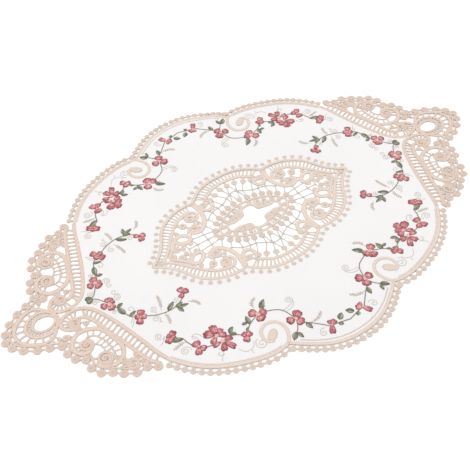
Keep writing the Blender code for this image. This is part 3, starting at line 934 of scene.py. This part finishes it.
def floor_finish(colour):
    finish = Finish("Floor")
    place = finish.add("TexCoord").outputs["Object"]
    grain = finish.noise(place, FLOOR_GRAIN_SCALE, detail=2.0)
    shade = finish.ramp(grain, [(0.2, tuple(value * 0.995 for value in colour)), (0.8, tuple(colour))])
    finish.shader_inputs(Base_Color=shade, Roughness=finish.span(grain, 0.7, 0.8), Specular_IOR_Level=0.1)
    return finish.material


def lace_finishes(colours, kind="Lace"):
    """Finishes of the tapes, of the bars, of the small wheels and of the fine net."""
    made = []
    middle = colours.end_lace if kind == "End_lace" else colours.lace
    threads = (colours.lace_deep, middle, colours.lace_pale)
    fine_threads = (colours.net_deep, colours.net, colours.lace)
    for part, pitch, thread in (("tape", 0.55, threads), ("cord", 0.7, threads), ("wheel", 0.6, threads),
                                ("net", 0.5, fine_threads)):
        name = f"{kind}_{part}"
        made.append(bpy.data.materials.get(name) or thread_finish(name, *thread, pitch))
    return made


# ---------------------------------------------------------------- the pieces
def cloth_sheet():
    """A quarter of the cloth: ribs from the opening to the outer edge, with a rib at every notch."""
    middle, side = smooth_line(MEDALLION_MIDDLE), smooth_line(MEDALLION_SIDE, level=False)
    parts = [(middle, smooth_line(MIDDLE_SCALLOP), MIDDLE_RIBS),
             (side, joined_line([SIDE_SCALLOP, CLOTH_SIDE_OF_WING]), SIDE_RIBS)]
    ribs = []
    for inner, outer, count in parts:
        for k in range(1 if ribs else 0, count + 1):
            ribs.append((place_at(inner, k / count)[0], place_at(outer, k / count)[0]))
    points = []
    for row in range(CLOTH_ROWS + 1):
        for inside, outside in ribs:
            spot = inside.lerp(outside, row / CLOTH_ROWS)
            points.append((spot.x, spot.y, 0.0))
    across = len(ribs)
    faces = []
    for row in range(CLOTH_ROWS):
        for k in range(across - 1):
            here = row * across + k
            faces.append((here + 1, here + across + 1, here + across, here))
    work = Work()
    work.add(points, faces, [(x, y) for x, y, _ in points], STITCHES, [0.5] * len(points))
    return work


class DOILY_OT_cloth(Operator):
    """Lays the ground cloth with its scalloped edge and its opening for the medallion"""

    bl_idname = "doily.cloth"
    bl_label = "Ground cloth"

    def execute(self, context):
        sizes, colours = in_millimetres(context.scene.doily_sizes), context.scene.doily_colours
        finish = cloth_finish("Cloth", colours.cloth)
        piece = make_piece(cloth_sheet().mirrored(QUARTERS), "Ground_cloth", [finish], sizes.ripple,
                           base=ON_TABLE + sizes.cloth_thickness)
        thicken = piece.modifiers.new("Thickness", "SOLIDIFY")
        thicken.thickness = sizes.cloth_thickness * MM
        thicken.offset = -1.0
        outer_line = joined_line([MIDDLE_SCALLOP, SIDE_SCALLOP, CLOTH_SIDE_OF_WING])
        inner_line = joined_line([MEDALLION_MIDDLE, MEDALLION_SIDE])
        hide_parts("ground_cloth")
        return {"FINISHED"}


def medallion_bands(work, sizes):
    """The outer and inner tapes with the ladder between them, and the picots."""
    height, scroll, width = sizes.tape_height, sizes.scroll_tape_width, sizes.bar_width
    middle, side = smooth_line(MEDALLION_MIDDLE), smooth_line(MEDALLION_SIDE, level=False)
    inner_middle, inner_side = smooth_line(INNER_MIDDLE), smooth_line(INNER_SIDE)
    for line, reach in ((middle, (0.0, 0.94)), (side, (0.02, 1.0))):
        sweep(work, line, tape_section(sizes.edge_tape_width * 0.85, height), TAPE, OVER_SEAM,
              ends=(line is side, True))
        picots(work, line, MEDALLION_PICOTS, MEDALLION_PICOT_HEIGHT, ON_CLOTH, reach)
    sweep(work, inner_middle, tape_section(scroll, height), TAPE, ends=(False, True))
    sweep(work, inner_side, tape_section(scroll, height), TAPE, ends=(True, False),
          swell=lambda along: blunt(min(along, 0.5)))
    ladder(work, middle, inner_middle, MIDDLE_LADDER_PITCH, width, reach=(0.0, 0.92))
    ladder(work, part_of(side, 0.06, 1.0), part_of(inner_side, 0.17, 1.0), SIDE_LADDER_PITCH, width,
           reach=(0.0, 0.94))
    wheel(work, *side[0], radius=2.2, height=height, lift=OVER_SEAM)
    wheel(work, *inner_middle[-1], radius=2.0, height=height * 1.25)


def medallion_scrolls(work, sizes):
    """The scrolls at the notch, their eyes, and the loop next to them."""
    height, scroll = sizes.tape_height, sizes.scroll_tape_width
    for table, share in ((NOTCH_SCROLL, 1.25), (BAND, 1.5)):
        sweep(work, smooth_line(table, level=False), tape_section(scroll * share, height), TAPE,
              swell=lambda along: blunt(max(along, 0.5)) * (1.0 - 0.3 * max(0.0, along - 0.7) / 0.3))
    for number, (x, y, radius, direction) in enumerate(SCROLL_EYES):
        wound_wheel(work, x, y, radius, direction, scroll * 0.85, height, start=50 + 90 * number)
    sweep(work, oval(*LOOP), tape_section(scroll * 1.35, height), TAPE, closed=True)
    sweep(work, smooth_line(TIP_TAPE, level=False), tape_section(scroll, height), TAPE, swell=blunt)


def medallion_frame(work, sizes):
    """The frame round the quatrefoil in the middle: two tapes with wheels between and picots outside."""
    height, scroll = sizes.tape_height, sizes.scroll_tape_width
    rim, quatrefoil = smooth_line(FRAME_RIM), smooth_line(QUATREFOIL)
    sweep(work, rim, tape_section(scroll * 0.75, height * 0.9), TAPE, ends=(False, False))
    sweep(work, quatrefoil, tape_section(scroll * 0.85, height), TAPE, ends=(False, False))
    picots(work, rim, FRAME_PICOTS, height, reach=(0.085, 1.0))
    ladder(work, quatrefoil, rim, FRAME_LADDER_PITCH, sizes.bar_width)
    for x, y, radius in FRAME_WHEELS:
        wheel(work, x, y, radius, height)


def medallion_net(work, sizes):
    """Fine cords across the open parts, with round dots where they meet the tapes."""
    width, gauge = sizes.bar_width, sizes.net_gauge
    sweep(work, smooth_line(NET_RING), cord_section(gauge, NET_HEIGHT), NET, ends=(False, True))
    for x0, y0, x1, y1 in NET_BARS:
        net_bar(work, (x0, y0), (x1, y1), gauge)
    tapes = [smooth_line(INNER_MIDDLE), smooth_line(INNER_SIDE), smooth_line(NOTCH_SCROLL, level=False),
             smooth_line(BAND, level=False), oval(*LOOP)]
    for x, y, radius in NET_DOTS:
        tied_wheel(work, x, y, radius, sizes.tape_height * 0.95, tapes, pitch=5.2, width=width,
                   reach=(1.5, 6.0))
    for x, y, radius, _ in SCROLL_EYES:
        spokes(work, x, y, radius, tapes, count=6, width=width, reach=(1.0, 6.0))
    ties(work, smooth_line(BAND, level=False), [oval(*LOOP)], pitch=6.5, width=gauge, reach=(2.5, 8.0),
         finish=NET)


class DOILY_OT_medallion(Operator):
    """Works the pointed-oval medallion with its ladder bands, scrolls, net and central frame"""

    bl_idname = "doily.medallion"
    bl_label = "Medallion"

    def execute(self, context):
        sizes, colours = in_millimetres(context.scene.doily_sizes), context.scene.doily_colours
        quarter = Work()
        medallion_bands(quarter, sizes)
        medallion_scrolls(quarter, sizes)
        medallion_frame(quarter, sizes)
        medallion_net(quarter, sizes)
        work = quarter.mirrored(QUARTERS)
        on_short_axis = Work()
        for y, radius in MIDDLE_DOTS:
            wheel(on_short_axis, 0.0, y, radius, sizes.tape_height * 0.95)
        for (y, _), table in zip(MIDDLE_DOTS, (INNER_MIDDLE, FRAME_RIM)):
            bar(on_short_axis, (0.0, y), (0.0, table[0][1]), sizes.bar_width)
        work.join(on_short_axis.mirrored([(1, 1), (1, -1)]))
        on_long_axis = Work()
        for x, radius in TIP_DOTS:
            wheel(on_long_axis, x, 0.0, radius, sizes.tape_height * 0.95)
        for low, high in AXIS_BARS:
            net_bar(on_long_axis, (low, 0.0), (high, 0.0), sizes.net_gauge)
        work.join(on_long_axis.mirrored([(1, 1), (-1, 1)]))
        piece = make_piece(work, "Medallion_lace", lace_finishes(colours), sizes.ripple)
        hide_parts("medallion_lace")
        return {"FINISHED"}


def edging_quarter(sizes):
    """Tapes and picots along the scallops, their thin linings on the cloth, and a volute with its eye."""
    height = sizes.tape_height
    work = Work()
    middle, side = smooth_line(MIDDLE_SCALLOP), smooth_line(SIDE_SCALLOP, level=False)
    for line in (middle, side):
        sweep(work, line, tape_section(sizes.edge_tape_width * 0.92, height), TAPE, ON_SEAM,
              ends=(line is side, True))
        picots(work, line, EDGING_PICOTS, EDGING_PICOT_HEIGHT, reach=(0.0, 0.985))
    sweep(work, smooth_line(MIDDLE_LINING), cord_section(width=1.1, height=0.4), NET, ON_CLOTH,
          ends=(False, True), shade=0.9)
    lining = part_of(beside(side, -LINING_INSET), 0.06, 0.97)
    sweep(work, lining, cord_section(width=1.0, height=0.4), CORD, ON_CLOTH, shade=0.6)
    volute = tape_section(sizes.scroll_tape_width * 0.95, height)
    sweep(work, smooth_line(VOLUTE, level=False), volute, TAPE, ON_CLOTH)
    # The eye's deep shades are its dense thread, with a painted highlight on its top and painted shade at
    # its foot and middle
    pad(work, oval(*VOLUTE_EYE), VOLUTE_DOME, WHEEL, ON_CLOTH, [0.1, 0.15, 0.3, 0.5, 0.4, 0.4],
        run=math.radians(VOLUTE_EYE[4] + EYE_STITCHES))
    return work


class DOILY_OT_edging(Operator):
    """Works the picot edging and its volutes along both long sides"""

    bl_idname = "doily.edging"
    bl_label = "Edging"

    def execute(self, context):
        sizes, colours = in_millimetres(context.scene.doily_sizes), context.scene.doily_colours
        quarter = edging_quarter(sizes)
        for name, node, sign in (("Edging_back", "edging_back", 1), ("Edging_front", "edging_front", -1)):
            work = quarter.mirrored([(1, sign), (-1, sign)])
            piece = make_piece(work, name, lace_finishes(colours), sizes.ripple)
            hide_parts(node)
        return {"FINISHED"}


def seam_lift(share):
    """The seam tape lies on the edge of the cloth, and comes down where it curls away from it."""
    held = (SEAM_LANDS - share) / (SEAM_LANDS - SEAM_LEAVES)
    return ON_TABLE + (ON_SEAM - ON_TABLE) * min(1.0, max(0.0, held))


def wing_tapes(work, sizes):
    """The ladder along the cloth, the arch and the eyes that they curl into."""
    height, scroll, width = sizes.tape_height, sizes.scroll_tape_width, sizes.bar_width
    seam, ladder_tape = smooth_line(SEAM_TAPE, level=False), smooth_line(LADDER_TAPE, level=False)
    sweep(work, seam, tape_section(sizes.edge_tape_width, height), TAPE, seam_lift)
    sweep(work, ladder_tape, tape_section(scroll * 1.15, height), TAPE, swell=blunt)
    ladder(work, part_of(seam, 0.04, 0.70), part_of(ladder_tape, 0.04, 0.94), WING_LADDER_PITCH,
           width * 1.2)
    x, y, radius, _ = WING_EYES[2]
    eye = Vector((x, y))
    count, first, step = CURL_BARS
    for k in range(count):
        foot = place_at(seam, first + step * k)[0]
        bar(work, foot, eye + (foot - eye).normalized() * radius * 0.5, width)
    arch = smooth_line(ARCH, level=False)
    sweep(work, arch, tape_section(scroll * 1.3, height), TAPE, swell=blunt)
    for number, (x, y, radius, direction) in enumerate(WING_EYES):
        wound_wheel(work, x, y, radius, direction, scroll * 0.85, height, start=70 * number)
        spokes(work, x, y, radius, [arch, ladder_tape], count=11, width=width, reach=(1.2, 9.0))


def wing_rim(work, sizes):
    """The thin rim with its round picots, and the short bars and small wheels that hold it to the tapes."""
    height, width = sizes.tape_height, sizes.bar_width
    rim = smooth_line(RIM_OF_WING)
    sweep(work, rim, tape_section(width=1.9, height=height * 0.85), TAPE, ends=(True, False))
    for x, y in END_PICOTS[:-1]:
        wheel(work, x, y, END_PICOT_RADIUS, END_PICOT_HEIGHT, corners=18)
    for one, other in zip(END_PICOTS, END_PICOTS[1:]):
        bar(work, one, other, width, lift=ON_TABLE + 0.1, arch=0.0)
    inner = [smooth_line(table, level=False) for table in (ARCH, LADDER_TAPE, LOBE_OUTER)]
    inner += [oval(x, y, radius * 0.85, radius * 0.85) for x, y, radius, _ in WING_EYES]
    ties(work, rim, inner, pitch=8.0, width=width, reach=(2.6, 9.0))
    for x, y, radius in WING_DOTS:
        tied_wheel(work, x, y, radius, height, [*inner, rim], pitch=4.4, width=width * 0.8,
                   reach=(1.2, 8.0))


def wing_chain(work, sizes):
    """The chain of rungs inside the arch: two cords and the short bars between them and the tapes."""
    width, cord_height = sizes.bar_width, sizes.net_gauge * 0.6
    tapes = [smooth_line(ARCH, level=False), smooth_line(LADDER_TAPE, level=False)]
    ring, cord = smooth_line(WING_RING, level=False), smooth_line(WING_CORD, level=False)
    sweep(work, ring, cord_section(width=1.7, height=cord_height), CORD)
    ties(work, ring, tapes, pitch=5.0, width=width * 0.85, reach=(2.0, 14.0))
    sweep(work, cord, cord_section(width=1.4, height=cord_height), CORD)
    ties(work, cord, [ring], pitch=4.6, width=width * 0.7, reach=(1.0, 9.0))


def lobe(work, sizes):
    """Half of the lobe at the tip: three rings round an open middle."""
    height, scroll, width = sizes.tape_height, sizes.scroll_tape_width, sizes.bar_width
    outer, middle, inner = smooth_line(LOBE_OUTER), smooth_line(LOBE_MIDDLE), smooth_line(LOBE_INNER)
    for line, share, start in ((outer, 1.0, False), (middle, 0.95, True), (inner, 0.8, False)):
        sweep(work, line, tape_section(scroll * share, height), TAPE, ends=(start, False))
    ladder(work, part_of(outer, 0.2, 1.0), part_of(middle, 0.1, 1.0), OUTER_LOBE_PITCH, width)
    ladder(work, middle, part_of(inner, 0.22, 1.0), INNER_LOBE_PITCH, width, reach=(0.12, 1.0))


class DOILY_OT_end_lace(Operator):
    """Works the wide lace at both ends, each of two wings and a lobe"""

    bl_idname = "doily.end_lace"
    bl_label = "End lace"

    def execute(self, context):
        sizes, colours = in_millimetres(context.scene.doily_sizes), context.scene.doily_colours
        wing = Work()
        wing_tapes(wing, sizes)
        wing_rim(wing, sizes)
        wing_chain(wing, sizes)
        lobe(wing, sizes)
        tip = Work()
        wheel(tip, *END_PICOTS[-1], END_PICOT_RADIUS, END_PICOT_HEIGHT, corners=18)
        for name, node, sign in (("End_lace_left", "end_lace_left", -1),
                                 ("End_lace_right", "end_lace_right", 1)):
            work = wing.mirrored([(sign, 1), (sign, -1)])
            work.join(tip.mirrored([(sign, 1)]))
            piece = make_piece(work, name, lace_finishes(colours, "End_lace"), sizes.ripple)
            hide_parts(node)
        return {"FINISHED"}


# ---------------------------------------------------------------- embroidery
def segment_outline(root, length, width, turn, corners=14):
    """A segment of a petal: narrow at its root, full and blunt at its tip."""
    rim = []
    for k in range(corners):
        angle = 2 * math.pi * k / corners
        along = length * (0.5 + 0.5 * math.cos(angle))
        across = width / 2 * math.sin(angle) * (0.88 + 0.2 * math.cos(angle))
        rim.append(root + Matrix.Rotation(turn, 2) @ Vector((along, across)))
    return rim


def petal(work, root, length, width, turn, lift, chance):
    """A satin-stitched petal of two or three fanned segments, with dark edges and a paler root that is
    partly a painted highlight.
    """
    count = 3 if width > WIDE_PETAL else 2
    breadth = width * (0.52 if count == 3 else 0.66)
    for number in range(count):
        lean = number - (count - 1) / 2
        fan = turn + lean * 2 * math.asin(min(0.9, (width - breadth) / (count - 1) / (1.5 * length)))
        reach = length * (1.0 - 0.06 * abs(lean)) * chance.uniform(0.95, 1.04)
        rim = segment_outline(root, reach, breadth, fan)
        heart = root + Matrix.Rotation(fan, 2) @ Vector((reach * 0.4, 0))
        tone = chance.uniform(-0.06, 0.08)
        # Dark edges are the outline thread; the paler inner rows are partly the petal's paler heart and
        # partly a painted highlight
        shades = [0.0, 0.0, 0.1 + tone, 0.42 + tone, 0.66 + tone, 0.95 + tone]
        pad(work, rim, PETAL_DOME, STITCHES, lift + SEGMENT_LAP * (number % 2), shades, run=fan,
            middle=heart)


def flower(work, x, y, throat, petals, chance):
    """A rose: petals pushed close together round a pale throat of straight stitches."""
    heart = Vector((x, y))
    for number, (distance, length, width, direction) in enumerate(petals):
        turn = math.radians(direction + chance.uniform(-4, 4))
        start = min(distance - length * 0.55, throat * 0.8)
        root = heart + Matrix.Rotation(turn, 2) @ Vector((start, 0))
        lift = STITCHED_LOW + PETAL_LAP * (number % 2)
        petal(work, root, distance + length * 0.53 - start, width * 1.08, turn, lift, chance)
    if throat > SMALLEST_THROAT:
        rim = oval(x, y, throat, throat * 0.92, petals[0][3], corners=12)
        pad(work, rim, THROAT_DOME, STITCHES, ON_CLOTH, [0.72, 0.85, 1.0, 1.1])


def leaf_half(x, y, length, width, turn, side):
    """Half of a pointed leaf on one side of its midrib, anticlockwise."""
    margin = []
    for k in range(9):
        u = k / 8
        margin.append(Vector((length * u, side * width / 2 * math.sin(math.pi * u ** 0.85) ** 0.85)))
    rib = [Vector((length * u, side * HALF_MIDRIB)) for u in (0.75, 0.5, 0.25)]
    outline = [Vector((x, y)) + Matrix.Rotation(turn, 2) @ point for point in margin + rib]
    return outline if area_of(outline) > 0 else outline[::-1]


def leaf(work, x, y, length, width, turn):
    """A pointed leaf of two satin halves with dark edges, one half darker than the other."""
    angle = math.radians(turn)
    for side, shade in ((1, 0.35), (-1, 0.75)):
        pad(work, leaf_half(x, y, length, width, angle, side), LEAF_DOME, STITCHES, STITCHED_IN,
            [0.0, 0.05, shade, shade + 0.2], run=angle + side * 0.9)


def heart_leaf(work, x, y, length, width):
    """A small leaf on the long axis, of two lobes that spread from one root."""
    for turn, shade in ((HEART_SPREAD, 0.3), (-HEART_SPREAD, 0.6)):
        angle = math.radians(turn)
        pad(work, segment_outline(Vector((x, y)), length, width, angle), LEAF_DOME, STITCHES, STITCHED_IN,
            [0.0, 0.05, shade, shade + 0.15], run=3 * angle)


def sprig(work, table):
    """A fern-like sprig: a thin strand with small oval fronds on both sides and one at its tip."""
    line = smooth_line(table, level=False)
    sweep(work, line, cord_section(width=0.7, height=FINE_CORD), STITCHES, STITCHED_IN)
    count = round(lengths_of(line)[-1] / FROND_PITCH)
    for number in range(count + 1):
        foot, out = place_at(line, 0.25 + 0.75 * number / count)
        ahead = math.degrees(math.atan2(-out.x, out.y))
        side = 0.0 if number == count else 0.9 if number % 2 else -0.9
        spot = foot + out * side
        frond = oval(spot.x, spot.y, half_length=1.15, half_width=0.6, turn=ahead + 40 * side, corners=8)
        pad(work, frond, FROND_DOME, STITCHES, STITCHED_IN, [0.25, 0.3, 0.45, 0.5],
            run=math.radians(ahead + 60))


def tendril(work, x, y, radius, turns, start, direction, tail):
    """A curl that winds inwards from a bent tail."""
    line = winding(x, y, radius, TENDRIL_EYE, turns, start, direction, step=16)
    away = (line[0] - line[1]).normalized()
    bend = Matrix.Rotation(math.radians(-TAIL_BEND * direction), 2)
    for _ in range(round(tail / TAIL_STEP)):
        line.insert(0, line[0] + away * TAIL_STEP)
        away = bend @ away
    sweep(work, line, cord_section(width=0.65, height=FINE_CORD), STITCHES, STITCHED_IN, shade=0.55)


class DOILY_OT_flowers(Operator):
    """Embroiders the roses and buds of the garlands"""

    bl_idname = "doily.flowers"
    bl_label = "Flowers"

    def execute(self, context):
        sizes, colours = in_millimetres(context.scene.doily_sizes), context.scene.doily_colours
        chance = random.Random(11)
        work = Work()
        for row in FLOWERS:
            flower(work, *row, chance)
        finish = thread_finish("Rose_thread", colours.rose_deep, colours.rose, colours.rose_pale_and_highlight,
                               pitch=0.45, rough=(0.4, 0.65), sheen=0.25, mottling=0.42)
        piece = make_piece(work.mirrored(QUARTERS), "Flowers", [finish], sizes.ripple, weld=False)
        return {"FINISHED"}


class DOILY_OT_leaves(Operator):
    """Embroiders the leaves of the garlands"""

    bl_idname = "doily.leaves"
    bl_label = "Leaves"

    def execute(self, context):
        sizes, colours = in_millimetres(context.scene.doily_sizes), context.scene.doily_colours
        quarter, on_axis = Work(), Work()
        for row in LEAVES:
            leaf(quarter, *row)
        heart_leaf(on_axis, *HEART_LEAF)
        work = quarter.mirrored(QUARTERS)
        work.join(on_axis.mirrored([(1, 1), (-1, 1)]))
        finish = thread_finish("Leaf_thread", colours.leaf_deep, colours.leaf, colours.leaf_pale,
                               pitch=0.45, rough=(0.45, 0.7), sheen=0.2, mottling=0.25)
        piece = make_piece(work, "Leaves", [finish], sizes.ripple, weld=False)
        return {"FINISHED"}


class DOILY_OT_stems(Operator):
    """Embroiders the stems, the tendrils, the plain strands and the sprigs"""

    bl_idname = "doily.stems"
    bl_label = "Stems and tendrils"

    def execute(self, context):
        sizes, colours = in_millimetres(context.scene.doily_sizes), context.scene.doily_colours
        stems = Work()
        stem, strand = cord_section(width=0.95, height=0.5), cord_section(width=0.6, height=FINE_CORD)
        for table in STEMS:
            sweep(stems, smooth_line(table, level=False), stem, STITCHES, STITCHED_LOW, shade=0.4)
        finish = thread_finish("Stem_thread", colours.leaf_deep, colours.stem, colours.leaf_pale,
                               pitch=0.6)
        piece = make_piece(stems.mirrored(QUARTERS), "Stems", [finish], sizes.ripple, weld=False)
        tendrils = Work()
        for row in TENDRILS:
            tendril(tendrils, *row)
        for table in STRANDS:
            sweep(tendrils, smooth_line(table, level=False), strand, STITCHES, STITCHED_IN, shade=0.55)
        for table in SPRIGS:
            sprig(tendrils, table)
        finish = thread_finish("Tendril_thread", colours.tendril_deep, colours.tendril, colours.cloth,
                               pitch=0.6)
        piece = make_piece(tendrils.mirrored(QUARTERS), "Tendrils", [finish], sizes.ripple, weld=False)
        return {"FINISHED"}


# ---------------------------------------------------------------- stage
FLOOR_REACH = 4.0
FLOOR_DROP = 0.0001
SOFTBOX_PLACE = (-0.7, 1.0, 2.1)
SOFTBOX_SIZE = (2.0, 1.5)
CAMERA_PLACE = (-0.284798, -0.461007, 0.58724)
# Turns about X, Y and Z in degrees
CAMERA_TURNS = (41.2838, 2.9569, -32.8077)
CAMERA_LENS = 59.112
CAMERA_SENSOR = 36.0
NEAREST_SEEN, FARTHEST_SEEN = 0.01, 20.0


def lay_floor(scene, colour):
    shape = bmesh.new()
    bmesh.ops.create_grid(shape, x_segments=8, y_segments=8, size=FLOOR_REACH)
    mesh = bpy.data.meshes.new("Floor")
    shape.to_mesh(mesh)
    shape.free()
    mesh.materials.append(floor_finish(colour))
    floor = bpy.data.objects.new("Floor", mesh)
    floor.location.z = -FLOOR_DROP
    scene.collection.objects.link(floor)


def light_studio(scene, stage):
    """Even light from all round, and one large soft light from behind on the left."""
    world = bpy.data.worlds.new("Studio")
    world.use_nodes = True
    sky = world.node_tree.nodes["Background"]
    sky.inputs["Color"].default_value = (1.0, 1.0, 1.0, 1.0)
    sky.inputs["Strength"].default_value = stage.sky
    scene.world = world
    lamp = bpy.data.lights.new("Softbox", "AREA")
    lamp.shape = "RECTANGLE"
    lamp.size, lamp.size_y = SOFTBOX_SIZE
    lamp.energy = stage.softbox
    softbox = bpy.data.objects.new("Softbox", lamp)
    softbox.location = SOFTBOX_PLACE
    softbox.rotation_mode = "QUATERNION"
    softbox.rotation_quaternion = Vector(SOFTBOX_PLACE).to_track_quat("Z", "Y")
    scene.collection.objects.link(softbox)


def place_camera(scene):
    eye = bpy.data.cameras.new("Camera")
    eye.sensor_width = CAMERA_SENSOR
    eye.lens = CAMERA_LENS
    eye.clip_start, eye.clip_end = NEAREST_SEEN, FARTHEST_SEEN
    camera = bpy.data.objects.new("Camera", eye)
    camera.location = CAMERA_PLACE
    camera.rotation_euler = [math.radians(turn) for turn in CAMERA_TURNS]
    scene.collection.objects.link(camera)
    scene.camera = camera


class DOILY_OT_stage(Operator):
    """Sets the floor, the soft light and the camera"""

    bl_idname = "doily.stage"
    bl_label = "Stage"

    def execute(self, context):
        scene, stage = context.scene, context.scene.doily_stage
        lay_floor(scene, stage.floor)
        light_studio(scene, stage)
        place_camera(scene)
        scene.view_settings.view_transform = "Standard"
        return {"FINISHED"}


class DOILY_PT_panel(Panel):
    """Lists the doily's pieces, sizes and colours"""

    bl_idname = "DOILY_PT_panel"
    bl_label = "Lace Doily"
    bl_space_type = "VIEW_3D"
    bl_region_type = "UI"
    bl_category = "Doily"

    def draw(self, context):
        layout = self.layout
        for step in STEPS:
            layout.operator(step.bl_idname)
        for group in (context.scene.doily_sizes, context.scene.doily_colours, context.scene.doily_stage):
            box = layout.box()
            for name in group.__annotations__:
                box.prop(group, name)


STEPS = (DOILY_OT_stage, DOILY_OT_medallion, DOILY_OT_edging, DOILY_OT_end_lace, DOILY_OT_flowers,
         DOILY_OT_leaves, DOILY_OT_stems, DOILY_OT_cloth)
CLASSES = (DoilySizes, DoilyColours, DoilyStage, *STEPS, DOILY_PT_panel)


def register():
    for kind in CLASSES:
        bpy.utils.register_class(kind)
    bpy.types.Scene.doily_sizes = PointerProperty(type=DoilySizes)
    bpy.types.Scene.doily_colours = PointerProperty(type=DoilyColours)
    bpy.types.Scene.doily_stage = PointerProperty(type=DoilyStage)


def unregister():
    del bpy.types.Scene.doily_stage
    del bpy.types.Scene.doily_colours
    del bpy.types.Scene.doily_sizes
    for kind in reversed(CLASSES):
        bpy.utils.unregister_class(kind)


def main():
    register()
    bpy.ops.doily.stage()
    bpy.ops.doily.medallion()
    bpy.ops.doily.edging()
    bpy.ops.doily.end_lace()
    bpy.ops.doily.flowers()
    bpy.ops.doily.leaves()
    bpy.ops.doily.stems()
    bpy.ops.doily.cloth()


if __name__ == "__main__":
    main()
